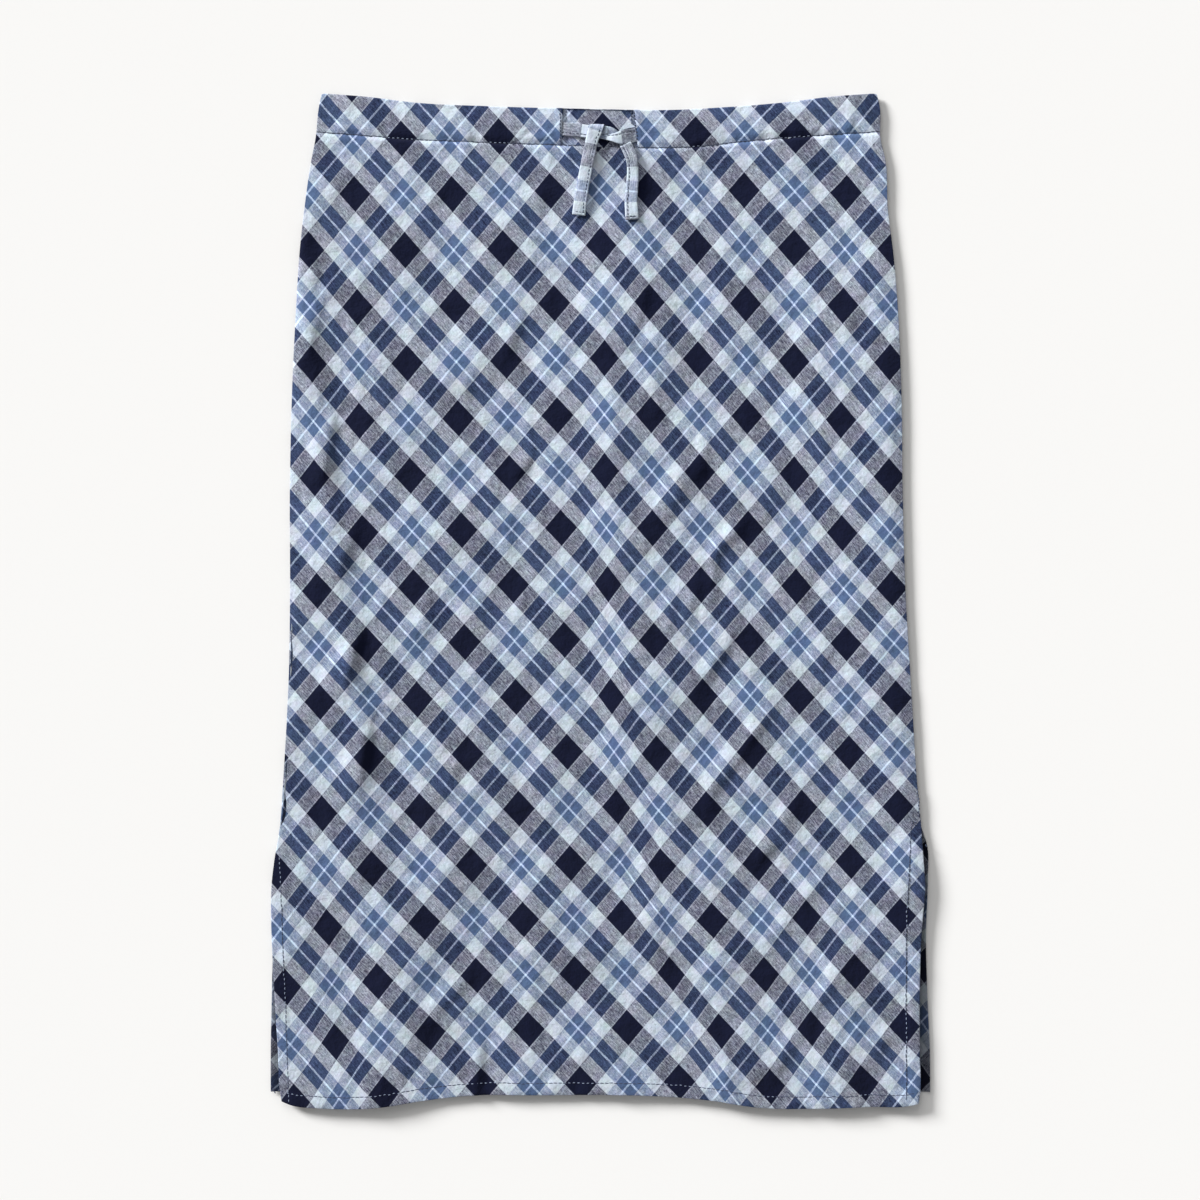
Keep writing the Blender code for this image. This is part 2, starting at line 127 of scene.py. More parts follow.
BACK_SLIT_SIDES = (
    Side(-0.1740, -0.2480, 0.2482),
    Side(-0.1900, -0.2500, 0.2530),
    Side(-0.2150, -0.2525, 0.2535),
    Side(-0.2600, -0.2535, 0.2520),
    Side(-0.3073, -0.2545, 0.2532),
    Side(-0.3484, -0.2553, 0.2550),
    Side(-0.3925, -0.2552, 0.2552),
)

# "across" is 0 at the left side and 1 at the right
Edge = namedtuple("Edge", "across offset")
WAIST_DIP = (
    Edge(0.00, 0.0000),
    Edge(0.08, 0.0027),
    Edge(0.16, 0.0068),
    Edge(0.30, 0.0098),
    Edge(0.50, 0.0120),
    Edge(0.62, 0.0128),
    Edge(0.73, 0.0105),
    Edge(0.85, 0.0062),
    Edge(0.92, 0.0025),
    Edge(1.00, 0.0000),
)
STITCH_DROP = (
    Edge(0.00, 0.0300),
    Edge(0.08, 0.0298),
    Edge(0.17, 0.0285),
    Edge(0.40, 0.0283),
    Edge(0.58, 0.0292),
    Edge(0.68, 0.0292),
    Edge(0.76, 0.0275),
    Edge(0.84, 0.0275),
    Edge(0.92, 0.0292),
    Edge(1.00, 0.0298),
)
HEM_RISE = (
    Edge(0.000, 0.0052),
    Edge(0.010, 0.0030),
    Edge(0.060, 0.0000),
    Edge(0.150, 0.0006),
    Edge(0.220, 0.0056),
    Edge(0.300, 0.0097),
    Edge(0.400, 0.0100),
    Edge(0.600, 0.0090),
    Edge(0.680, 0.0056),
    Edge(0.750, 0.0006),
    Edge(0.850, 0.0000),
    Edge(0.920, 0.0011),
    Edge(0.990, 0.0022),
    Edge(1.000, 0.0034),
)

# Short rows of stitches.  Five are at the window: on the turned-in layer behind
# it, or on the outer layer beside its folded edges.  The next three are where
# the right slit begins: the seam's last stitches, and two tacks across it.  Then
# come a loose thread below them, and the ends of threads at the hem's corners.
ShortRow = namedtuple("ShortRow", "layer x_top x_low top low")
SHORT_ROWS = (
    ShortRow("outer", -0.0312, -0.0312, 0.3800, 0.3520),
    ShortRow("inner", -0.0266, -0.0264, 0.3798, 0.3690),
    ShortRow("inner", -0.0266, -0.0262, 0.3590, 0.3535),
    ShortRow("inner", 0.0240, 0.0241, 0.3790, 0.3660),
    ShortRow("outer", 0.0253, 0.0290, 0.3790, 0.3530),
    ShortRow("outer", 0.2455, 0.2462, -0.1440, -0.1690),
    ShortRow("outer", 0.2396, 0.2472, -0.1704, -0.1730),
    ShortRow("outer", 0.2400, 0.2476, -0.1718, -0.1746),
    ShortRow("outer", 0.2512, 0.2538, -0.1880, -0.1925),
    ShortRow("outer", 0.2458, 0.2460, -0.3812, -0.3888),
    ShortRow("outer", -0.2548, -0.2506, -0.3742, -0.3832),
    ShortRow("outer", -0.2500, -0.2424, -0.3790, -0.3797),
)

# The stitching beside each slit, from its top to the hem
SlitRow = namedtuple("SlitRow", "y x")
LEFT_SLIT_ROW = (
    SlitRow(-0.3890, -0.2408),
    SlitRow(-0.2900, -0.2448),
    SlitRow(-0.1972, -0.2484),
)
RIGHT_SLIT_ROW = (
    SlitRow(-0.3890, 0.2363),
    SlitRow(-0.3100, 0.2362),
    SlitRow(-0.2554, 0.2364),
    SlitRow(-0.1735, 0.2401),
)

# Folds of the front: soft ridges, and troughs where the height is negative.  A
# crest is a curve through its (x, y) places, and each side has its own width.
Fold = namedtuple("Fold", "name height left_width right_width crest")
FRONT_FOLDS = (
    Fold("centre ridge", 0.0032, 0.024, 0.040,
         ((0.022, 0.290), (0.014, 0.168), (0.014, 0.080), (0.024, 0.013),
          (0.023, -0.071), (0.046, -0.159), (0.069, -0.227), (0.096, -0.310), (0.125, -0.420))),
    Fold("left ridge", 0.0026, 0.026, 0.011,
         ((-0.233, 0.290), (-0.228, 0.202), (-0.217, 0.117), (-0.204, 0.037),
          (-0.198, -0.038), (-0.189, -0.108), (-0.193, -0.180))),
    Fold("left trough", -0.0007, 0.014, 0.010,
         ((-0.065, 0.220), (-0.055, 0.117), (-0.078, -0.083),
          (-0.062, -0.155), (-0.126, -0.320))),
    Fold("right roll", 0.0020, 0.030, 0.018,
         ((0.208, 0.390), (0.219, 0.230), (0.224, 0.080), (0.233, -0.120), (0.238, -0.230))),
    Fold("left roll", 0.0007, 0.012, 0.030,
         ((-0.222, 0.360), (-0.228, 0.100), (-0.238, -0.160))),
    Fold("left hem wave", 0.0034, 0.030, 0.030,
         ((-0.150, -0.240), (-0.160, -0.330), (-0.167, -0.420))),
    Fold("right hem wave", 0.0032, 0.030, 0.036,
         ((0.195, -0.250), (0.190, -0.330), (0.180, -0.420))),
    Fold("slanting fold", 0.0016, 0.012, 0.007,
         ((0.040, -0.205), (0.052, -0.289), (0.085, -0.332), (0.104, -0.420))),
    Fold("left hem dent", -0.0012, 0.009, 0.009,
         ((-0.085, -0.330), (-0.092, -0.420))),
    Fold("left hem rib", 0.0008, 0.010, 0.010,
         ((-0.118, -0.310), (-0.112, -0.420))),
    Fold("middle hem rib", 0.0009, 0.012, 0.012,
         ((0.012, -0.335), (0.018, -0.420))),
)

# Creases: short folds that rise gently from the left and fall away to the right
Crease = namedtuple("Crease", "height rise fall crest")
FRONT_CREASES = (
    Crease(0.0019, 0.010, 0.0040, ((-0.218, 0.222), (-0.230, 0.182))),
    Crease(0.0025, 0.011, 0.0040, ((-0.208, 0.140), (-0.211, 0.113), (-0.217, 0.090))),
    Crease(0.0021, 0.010, 0.0040, ((-0.191, 0.053), (-0.204, 0.019))),
    Crease(0.0023, 0.010, 0.0036, ((-0.185, -0.022), (-0.198, -0.066))),
    Crease(0.0021, 0.010, 0.0036, ((-0.177, -0.088), (-0.187, -0.140))),
    Crease(0.0014, 0.009, 0.0036, ((-0.062, 0.218), (-0.073, 0.188))),
    Crease(0.0016, 0.009, 0.0036, ((-0.057, 0.136), (-0.054, 0.115), (-0.065, 0.094))),
    Crease(0.0017, 0.008, 0.0036, ((0.034, 0.236), (0.024, 0.205))),
    Crease(0.0008, 0.012, 0.0048, ((0.042, 0.172), (0.045, 0.148))),
    Crease(0.0014, 0.008, 0.0036, ((0.083, 0.129), (0.076, 0.094))),
    Crease(0.0016, 0.014, 0.0080, ((0.070, 0.104), (0.050, 0.068))),
    Crease(0.0019, 0.010, 0.0040, ((0.109, 0.058), (0.092, 0.041), (0.087, 0.012))),
    Crease(0.0016, 0.008, 0.0036, ((0.076, 0.016), (0.069, -0.014))),
    Crease(0.0010, 0.008, 0.0040, ((0.056, 0.002), (0.051, -0.028))),
    Crease(0.0025, 0.013, 0.0048, ((0.100, -0.026), (0.091, -0.042), (0.077, -0.065))),
    Crease(0.0023, 0.011, 0.0044, ((0.132, -0.084), (0.110, -0.115), (0.084, -0.152))),
    Crease(0.0023, 0.012, 0.0044, ((0.152, -0.158), (0.138, -0.182), (0.120, -0.204))),
    Crease(0.0016, 0.011, 0.0044, ((0.172, -0.215), (0.150, -0.240), (0.130, -0.268))),
    Crease(0.0015, 0.012, 0.0048, ((0.192, -0.276), (0.174, -0.302), (0.162, -0.325))),
    Crease(0.0017, 0.012, 0.0072, ((0.218, -0.334), (0.203, -0.362))),
    Crease(0.0014, 0.009, 0.0048, ((0.150, -0.335), (0.134, -0.368))),
    Crease(0.0015, 0.014, 0.0048, ((-0.098, -0.288), (-0.124, -0.314), (-0.138, -0.340))),
    Crease(0.0016, 0.010, 0.0040, ((-0.092, -0.340), (-0.098, -0.385))),
    Crease(0.0010, 0.010, 0.0048, ((-0.042, 0.330), (-0.050, 0.300))),
    Crease(0.0010, 0.010, 0.0048, ((-0.190, 0.352), (-0.198, 0.325))),
    Crease(0.0012, 0.010, 0.0048, ((0.205, 0.245), (0.190, 0.210))),
    Crease(0.0010, 0.012, 0.0056, ((0.178, 0.130), (0.160, 0.085))),
    Crease(0.0010, 0.010, 0.0048, ((-0.130, 0.010), (-0.142, -0.040))),
    Crease(0.0010, 0.010, 0.0048, ((-0.110, -0.120), (-0.128, -0.165))),
    Crease(0.0010, 0.012, 0.0056, ((0.180, -0.020), (0.165, -0.070))),
    Crease(0.0016, 0.008, 0.0036, ((-0.0050, 0.346), (-0.0093, 0.324), (-0.0131, 0.298))),
    Crease(0.0016, 0.008, 0.0036, ((0.0281, 0.341), (0.0284, 0.324), (0.0273, 0.300))),
)

# Dents that the drawstring and the sewing pull into the casing and just below it
Dent = namedtuple("Dent", "x y depth long short turn")
CASING_DENTS = (
    Dent(-0.1665, 0.3506, 0.0011, 0.0075, 0.0022, -12),
    Dent(-0.1670, 0.3640, 0.0008, 0.0045, 0.0020, -35),
    Dent(-0.2096, 0.3724, 0.0010, 0.0060, 0.0022, -40),
    Dent(-0.1290, 0.3600, 0.0007, 0.0060, 0.0022, -48),
    Dent(-0.0560, 0.3612, 0.0008, 0.0055, 0.0020, 40),
    Dent(-0.0420, 0.3560, 0.0009, 0.0050, 0.0020, 22),
    Dent(0.0036, 0.3515, 0.0024, 0.0085, 0.0036, 66),
    Dent(0.0400, 0.3600, 0.0008, 0.0060, 0.0020, -35),
    Dent(0.0601, 0.3553, 0.0010, 0.0060, 0.0020, -30),
    Dent(0.1081, 0.3584, 0.0010, 0.0070, 0.0022, -38),
    Dent(0.1469, 0.3569, 0.0010, 0.0070, 0.0022, -42),
    Dent(0.1624, 0.3708, 0.0009, 0.0055, 0.0020, -46),
    Dent(0.1900, 0.3590, 0.0008, 0.0060, 0.0022, -30),
)

# Where the plaid lies: one dark crossing, and the two steps to its neighbours
PLAID_ORIGIN = np.array([-0.0015, 0.2717])
STEP_DOWN_RIGHT = np.array([0.03829, -0.04302])
STEP_DOWN_LEFT = np.array([-0.03597, -0.04362])
PLAID_PERIOD = 0.0564
TURNED_SHIFT = np.array([0.0046, 0.0031])

# A place on the back that shows at the lower left corner, and how far it is from
# a dark crossing, in lattice steps
BACK_CORNER = (-0.2507, -0.3708)
BACK_CORNER_OFF = np.array([-0.082, 0.082])

# How far the cloth is pulled out of its even lattice, in millimetres right and
# up, at seven places across.  The plaid closes up on a soft ridge below the knot.
Pull = namedtuple("Pull", "y ridge left_side left left_middle before after right_middle right")
PULL_PLACES = (-0.225, -0.185, -0.115, -0.016, 0.016, 0.1275, 0.185)
PULLS = (
    Pull(0.380, 0.000, (-1.7, -0.6), (-1.9, -1.2), (-1.2, 0.8),
         (0.6, 1.8), (1.9, 2.9), (5.2, -0.6), (9.5, -1.0)),
    Pull(0.355, 0.000, (-2.3, 0.8), (-2.1, -0.2), (-1.2, 0.4),
         (0.9, 2.2), (1.7, 2.6), (3.9, 0.8), (9.0, -1.2)),
    Pull(0.303, 0.005, (-1.4, 1.6), (-1.7, 1.0), (-0.6, 0.2),
         (1.8, 3.2), (2.0, 2.2), (2.1, 1.2), (6.5, -1.2)),
    Pull(0.227, 0.019, (-1.2, 0.4), (-2.1, 0.0), (-1.2, 0.4),
         (3.0, 2.7), (0.8, 2.2), (1.2, 0.0), (2.2, -1.8)),
    Pull(0.124, -0.003, (-1.0, -1.6), (-3.1, -1.4), (-0.8, 0.0),
         (2.3, 1.9), (-0.3, 1.8), (-0.4, -0.4), (-2.3, -4.0)),
    Pull(0.022, 0.003, (-1.6, -2.7), (-2.5, -1.0), (-0.6, 0.2),
         (3.1, 1.7), (-1.7, 0.5), (-1.9, -0.8), (-3.1, -4.3)),
    Pull(-0.080, 0.010, (-1.9, -1.7), (-1.7, -1.6), (-0.8, 0.2),
         (3.3, 1.7), (-2.5, -0.2), (-3.5, 0.4), (-1.9, -2.2)),
    Pull(-0.183, 0.030, (-2.5, -1.6), (-2.7, -1.4), (-0.4, 0.4),
         (3.5, 2.3), (-2.1, -1.0), (-1.6, 0.4), (-3.2, 1.0)),
    Pull(-0.234, 0.036, (-1.0, -3.1), (-2.3, -1.6), (0.4, 1.2),
         (4.3, 2.9), (-1.2, -0.5), (0.0, 1.2), (-3.3, 2.4)),
    Pull(-0.285, 0.056, (2.1, -4.8), (-0.8, -1.9), (1.2, 1.9),
         (5.6, 3.8), (1.0, 0.8), (1.9, 1.4), (-2.9, 3.5)),
    Pull(-0.336, 0.080, (4.8, -6.2), (0.8, -2.7), (2.3, 3.3),
         (7.5, 5.0), (3.1, 1.4), (3.3, 1.6), (-2.4, 4.0)),
    Pull(-0.387, 0.090, (8.0, -7.5), (2.7, -2.7), (3.1, 3.7),
         (8.7, 6.4), (4.5, 1.8), (4.3, 1.7), (3.0, 4.0)),
)

NOISE_CELLS = 256         # each use of the noise has a seed of its own


def curve(at, places, values):
    """Smooth curve through a table: between two rising places a cubic, whose
    slope at each place is the mean of the slopes to its neighbours."""
    places = np.asarray(places, float)
    values = np.asarray(values, float)
    slopes = np.gradient(values, places)
    k = np.clip(np.searchsorted(places, at) - 1, 0, len(places) - 2)
    span = places[k + 1] - places[k]
    t = np.clip((at - places[k]) / span, 0.0, 1.0)
    start = (2 * t**3 - 3 * t**2 + 1) * values[k] + (t**3 - 2 * t**2 + t) * span * slopes[k]
    end = (3 * t**2 - 2 * t**3) * values[k + 1] + (t**3 - t**2) * span * slopes[k + 1]
    return start + end


def ease(value, low, high):
    """0 below low, 1 above high, and 3t^2 - 2t^3 between them."""
    t = np.clip((value - low) / (high - low), 0.0, 1.0)
    return t * t * (3 - 2 * t)


def bell(distance, width):
    """exp(-(distance / width)^2)."""
    return np.exp(-(distance / width) ** 2)


def soft_noise(x, y, size, seed):
    """Smooth random bumps, -1 to 1 and about size across: random values on a
    square lattice, blended between its points by 6t^5 - 15t^4 + 10t^3."""
    table = np.random.default_rng(seed).uniform(-1, 1, (NOISE_CELLS, NOISE_CELLS))
    column, row = np.floor(x / size).astype(int), np.floor(y / size).astype(int)
    s, t = x / size - column, y / size - row
    s = s**3 * (s * (s * 6 - 15) + 10)
    t = t**3 * (t * (t * 6 - 15) + 10)

    def corner(right, up):
        """The random value at one corner of each place's own square."""
        return table[(column + right) % NOISE_CELLS, (row + up) % NOISE_CELLS]

    low = corner(0, 0) * (1 - s) + corner(1, 0) * s
    high = corner(0, 1) * (1 - s) + corner(1, 1) * s
    return low * (1 - t) + high * t


def side_lines(y, sides=FRONT_SIDES):
    """X of the left and right outline at each y, on curves through the table."""
    rising = sorted(sides)
    places = [side.y for side in rising]
    left = curve(y, places, [side.left for side in rising])
    right = curve(y, places, [side.right for side in rising])
    return left, right


def edge_offset(across, table):
    """A table's offset at each place across, on a curve through its rows."""
    return curve(across, [edge.across for edge in table], [edge.offset for edge in table])


def waist_line(across):
    """Y of the fold at the waist: half the length, less half a wall and the dip."""
    return LENGTH / 2 - CAD_WALL / 2 - edge_offset(across, WAIST_DIP)


def stitch_line(across):
    """Y of the casing's stitching: the waist's, less the stitching's drop."""
    return waist_line(across) - edge_offset(across, STITCH_DROP)


def front_hem_line(across):
    """Y of the front's hem: half the length down, and up by the hem's rise."""
    return -LENGTH / 2 + edge_offset(across, HEM_RISE)


def fold_height(x, y, folds):
    """Sum of the folds: each a bell to either side of its crest, faded at both
    ends over a third of its length, or 50 mm where that is less."""
    total = np.zeros_like(x)
    for height, left_width, right_width, crest in folds:
        crest = np.array(sorted(crest, key=lambda place: place[1]))
        low, high = crest[0, 1], crest[-1, 1]
        fade = min(0.05, 0.35 * (high - low))
        strength = ease(y, low - fade, low + fade) * (1 - ease(y, high - fade, high + fade))
        middle = curve(y, crest[:, 1], crest[:, 0])
        off = x - middle
        total += height * strength * bell(off, np.where(off < 0, left_width, right_width))
    return total


def dented(x, y):
    """Sum of the casing's dents: each a bell, long one way and short the other."""
    total = np.zeros_like(x)
    for dent in CASING_DENTS:
        turn = math.radians(dent.turn)
        along = (x - dent.x) * math.cos(turn) + (y - dent.y) * math.sin(turn)
        beside = (y - dent.y) * math.cos(turn) - (x - dent.x) * math.sin(turn)
        total += dent.depth * bell(along, dent.long) * bell(beside, dent.short)
    return total


def crinkle(x, y, seed):
    """Small uneven wrinkles: three sizes of soft noise, the largest slanted so
    that its bumps run down and to the left, as the cloth's do."""
    slant_x = 0.80 * x + 0.45 * y
    slant_y = 0.55 * (y - 0.35 * x)
    return (0.00140 * soft_noise(slant_x, slant_y, 0.024, seed)
            + 0.00055 * soft_noise(x, y, 0.0105, seed + 1)
            + 0.00010 * soft_noise(x, y, 0.0056, seed + 2))


def puckers(along, away, seed, height=0.00065, pitch=0.008, reach=0.011):
    """Ripples square to a row of stitches: noise along it, fading as a bell."""
    wave = soft_noise(along, 0 * along, pitch, seed)
    return height * wave * bell(away, reach)


def across_of(x, y):
    """How far across the front a place lies: 0 at its left side, 1 at its right."""
    left, right = side_lines(y)
    return np.clip((x - left) / (right - left), 0.0, 1.0)


def x_across(across, y):
    """X of a place across the front at each y: the inverse of across_of."""
    left, right = side_lines(y)
    return left + (right - left) * across


def front_height(x, y):
    """Middle of the front cloth: the casing's puff over the drawstring, pressed
    flat at its stitching, then the body's folds, lowered to the side seams."""
    left, right = side_lines(y)
    across = across_of(x, y)
    from_side = np.minimum(x - left, right - x)
    drop = waist_line(across) - y
    depth = edge_offset(across, STITCH_DROP)

    in_slit = 1 - ease(y, SLIT_TOP - 0.03, SLIT_TOP)
    roll = ease(from_side, -0.042, 0.020)
    creases = fold_height(x, y, FRONT_CREASES) * (1 + 0.45 * soft_noise(x, y, 0.015, 51))
    folds = fold_height(x, y, [fold[1:] for fold in FRONT_FOLDS]) + creases
    near_hem = 1 - ease(y, -LENGTH / 2 + 0.005, -LENGTH / 2 + 0.090)
    lift = roll * (BODY_LIFT + HEM_LIFT * near_hem + folds) + SLIT_LIFT * in_slit
    body = CAD_WALL / 2 + LAYER_STEP + np.maximum(lift, 0.0)

    crown = ease(drop, -0.004, 0.008) * (1 - ease(drop, depth - 0.0055, depth))
    casing = FRONT_SEWN_MID + CASING_PUFF * crown * ease(from_side, 0.0, 0.025)
    fall = ease(drop, depth + 0.0015, 0.070)
    smooth = casing * (1 - fall) + body * fall

    calm = ease(from_side, 0.0, 0.012)
    flap = (1 - ease(y, -0.205, SLIT_TOP)) * ease(x - right, -0.045, 0.0)
    smooth = smooth + FLAP_LIFT * flap
    height = smooth + crinkle(x, y, 11) * (0.35 + 0.65 * calm) * (0.45 + 0.55 * fall)
    height += puckers(x, drop - depth, 21) * calm
    hem = y - front_hem_line(across)
    height += puckers(x, hem - HEM_DEPTH, 31, 0.00040, 0.009, 0.008)
    groove = bell(drop - depth, 0.0012) * 0.00035 + bell(hem - HEM_STITCH, 0.0011) * 0.0002
    return np.maximum(height - groove - dented(x, y), LEAST_FRONT)


def rolled(height, from_side, y, radius, low):
    """Brings the cloth round a side seam: within the radius its height follows a
    quarter ellipse down to low.  The slits' free edges stay level."""
    sewn = ease(y, SLIT_TOP - 0.004, SLIT_TOP + 0.012)
    t = np.clip(from_side / radius, 0.0, 1.0)
    arch = np.sqrt(1 - (1 - t) ** 2)
    return height + sewn * (arch - 1) * np.maximum(height - low, 0.0)


def pulled(x, y):
    """How far the plaid is moved at each place: each row of PULLS gives values at
    places across, joined by straight slopes, and curves join the rows."""
    rising = sorted(PULLS)
    rows = [pull.y for pull in rising]
    ridge = curve(y, rows, [pull.ridge for pull in rising])
    values = np.array([pull[2:] for pull in rising]) / 1000
    moved = [curve(y, rows, values[:, 0, k]) for k in (0, 1)]
    for place in range(1, values.shape[1]):
        low, high = (spot + ridge if abs(spot) < 0.02 else spot + 0 * ridge
                     for spot in PULL_PLACES[place - 1:place + 1])
        share = np.clip((x - low) / (high - low), 0.0, 1.0)
        for k in (0, 1):
            step = values[:, place, k] - values[:, place - 1, k]
            moved[k] = moved[k] + share * curve(y, rows, step)
    return moved


def plaid_place(x, y):
    """Plaid coordinates of a place on the flat front: the pull is taken off it,
    and the rest is solved for its two lattice steps."""
    right, up = pulled(x, y)
    steps = np.linalg.inv(np.stack([STEP_DOWN_RIGHT, STEP_DOWN_LEFT], axis=1))
    off = np.stack([x - right, y - up], axis=-1) - PLAID_ORIGIN
    return off @ steps.T


def unit(vectors):
    """Vectors of length 1 that point the same way."""
    return vectors / np.maximum(np.linalg.norm(vectors, axis=-1, keepdims=True), 1e-12)


def distances(line):
    """How far along a line of points each of them is."""
    return np.concatenate([[0.0], np.cumsum(np.linalg.norm(np.diff(line, axis=0), axis=1))])


def surface_normals(middle):
    """Unit normals of a grid of points: the cross product of its two slopes."""
    return unit(np.cross(np.gradient(middle, axis=0), np.gradient(middle, axis=1)))


def rounded(distance, half):
    """Half thickness near a folded edge: a half circle that ends in a thin rim."""
    t = np.clip(distance / half, 0.0, 1.0)
    return half * np.maximum(np.sqrt(1 - (1 - t) ** 2), 0.04)


def edge_steps(half):
    """Distances from an edge at which its rounding is divided."""
    return half * np.array([0.0, 0.12, 0.45, 1.0])


def make_object(name, points, faces, finish, places=None):
    """A smooth mesh object from arrays.  Cloth and thread have a UV map, of plaid
    coordinates or of a tone."""
    mesh = bpy.data.meshes.new(name)
    size = faces.shape[1]
    mesh.vertices.add(len(points))
    mesh.vertices.foreach_set("co", points.astype(np.float32).ravel())
    mesh.loops.add(faces.size)
    mesh.loops.foreach_set("vertex_index", faces.astype(np.int32).ravel())
    mesh.polygons.add(len(faces))
    mesh.polygons.foreach_set("loop_start", np.arange(0, faces.size, size, dtype=np.int32))
    mesh.update(calc_edges=True)
    mesh.validate()
    if places is not None:
        layer = mesh.uv_layers.new(name="cloth")
        layer.data.foreach_set("uv", places[faces.ravel()].astype(np.float32).ravel())
    mesh.shade_smooth()
    mesh.materials.append(finish)
    item = bpy.data.objects.new(name, mesh)
    bpy.context.scene.collection.objects.link(item)
    return item


def cloth_shell(name, middle, half, places, finish, keep=None):
    """Closed thin cloth: two copies of a grid of middle points, moved half a
    thickness each way along its normals and joined round every border."""
    rows, columns = middle.shape[:2]
    if keep is None:
        keep = np.ones((rows - 1, columns - 1), bool)
    normal = surface_normals(middle)
    if normal[-2, columns // 2, 2] < 0:
        normal = -normal
    upper = middle + normal * half[..., None]
    lower = middle - normal * half[..., None]
    count = rows * columns
    index = np.arange(count).reshape(rows, columns)
    cells = np.stack([index[:-1, :-1][keep], index[1:, :-1][keep],
                      index[1:, 1:][keep], index[:-1, 1:][keep]], axis=1)
    starts, ends = cells.ravel(), np.roll(cells, -1, axis=1).ravel()
    border = ~np.isin(ends * count + starts, starts * count + ends)
    first, last = starts[border], ends[border]
    rims = np.stack([last, first, first + count, last + count], axis=1)
    points = np.concatenate([upper.reshape(-1, 3), lower.reshape(-1, 3)])
    faces = np.concatenate([cells, cells[:, ::-1] + count, rims])
    places = np.concatenate([places.reshape(-1, 2)] * 2)
    used, faces = np.unique(faces, return_inverse=True)
    return make_object(name, points[used], faces.reshape(-1, 4), finish, places[used])


class Wire:
    """A shader socket that Python's operators work on, adding Math nodes."""

    def __init__(self, finish, socket):
        self.finish = finish
        self.socket = socket

    def math(self, operation, *values):
        """Adds a Math node on values or other wires."""
        return self.finish.add("ShaderNodeMath", {"operation": operation}, dict(enumerate(values)))

    def beside(self, output):
        """Another output of the same node."""
        return Wire(self.finish, self.socket.node.outputs[output])

    def __add__(self, other):
        return self.math("ADD", self, other)

    def __sub__(self, other):
        return self.math("SUBTRACT", self, other)

    def __rsub__(self, other):
        return self.math("SUBTRACT", other, self)

    def __mul__(self, other):
        return self.math("MULTIPLY", self, other)

    __radd__ = __add__
    __rmul__ = __mul__


class Finish:
    """One material being made, with its Principled shader."""

    def __init__(self, name, **constants):
        self.material = bpy.data.materials.new(name)
        self.material.use_nodes = True
        self.tree = self.material.node_tree
        self.shader = self.tree.nodes["Principled BSDF"]
        self.feed(**constants)

    def add(self, kind, settings=None, values=None, output=0):
        """Adds a node: its settings first, then its sockets' values or links."""
        node = self.tree.nodes.new(kind)
        for key, value in (settings or {}).items():
            if key == "stops":
                self.set_stops(node.color_ramp, value)
            else:
                setattr(node, key, value)
        for key, value in (values or {}).items():
            self.put(node.inputs[key], value)
        return Wire(self, node.outputs[output])

    def put(self, socket, value):
        """Links a wire to a socket, or sets its value."""
        if isinstance(value, Wire):
            self.tree.links.new(value.socket, socket)
        else:
            socket.default_value = value

    def feed(self, **values):
        """Puts values or wires on the shader's sockets, and gives the material."""
        for socket, value in values.items():
            self.put(self.shader.inputs[socket.replace("_", " ")], value)
        return self.material

    def set_stops(self, ramp, stops):
        """Gives a ramp its stops, each a place and a colour."""
        while len(ramp.elements) < len(stops):
            ramp.elements.new(1.0)
        for element, (place, colour) in zip(ramp.elements, stops):
            element.position = place
            element.color = colour


# Where each stripe ends, in shares of half a repeat from the navy one's middle
NAVY_HALF = 0.324
PALE_END = 0.708
DENIM_END = 0.974
STRIPE_SOFTNESS = 0.005

DISPLAY_GAMMA = 2.2
BLEND_POWER = 1.5
WEFT_SHARE = 0.59         # how much of a check's colour is the second set's
WARP_SHOWS = 0.19         # how far the first set comes up where its stop says so
WEFT_SHOWS = 0.05         # and the second set
HEM_PAINTED_SHADE = 0.13        # painted shade: how much the colour darkens towards the hem, for each metre
PAINTED_SHADE_MIDDLE = 0.975       # the painted shade's level half way down
TINT = 0.19               # how much the yarns' tone and hue vary from spot to spot
WARP_STREAKS = 0.16       # how much the tone varies between threads of the first set
WEFT_STREAKS = 0.20       # and of the second set
SLIPS = 0.75              # how much the second set's share varies between its threads
SWAY = 0.005              # how far a stripe's edge wanders, in repeats
MAUVE = (0.022, 0.0, 0.012)   # added where a dark yarn crosses a pale one
CRINKLE_HEIGHT = 0.0014
THREAD_HEIGHT = 0.0001


def yarn(colour):
    """Yarn colours are blended in a space between light and display: a power of
    the display value.  The Gamma node then takes the blend to light."""
    return tuple((part / 255) ** BLEND_POWER for part in colour) + (1.0,)


def stripe_stops(navy, pale, denim, line):
    """Ramp stops over half a repeat, from the middle of the navy stripe to the
    thin line.  A stop's last number says how far its threads come up over the
    other set: fully along the pale stripe's edges, partly beside them and at the
    thin line, and not at all elsewhere."""
    soft = STRIPE_SOFTNESS
    plan = ((0.0, navy, 0.0), (NAVY_HALF - 0.034, navy, 0.0),
            (NAVY_HALF - 0.022, navy, 0.35), (NAVY_HALF - soft, navy, 0.35),
            (NAVY_HALF + soft, pale, 1.0), (NAVY_HALF + 0.028, pale, 1.0),
            (NAVY_HALF + 0.040, pale, 0.0), (PALE_END - 0.040, pale, 0.0),
            (PALE_END - 0.028, pale, 1.0), (PALE_END - soft, pale, 1.0),
            (PALE_END + soft, denim, 0.0), (DENIM_END - soft, denim, 0.0),
            (DENIM_END + soft, line, 0.5), (1.0, line, 0.5))
    return tuple((place, colour[:3] + (shows,)) for place, colour, shows in plan)


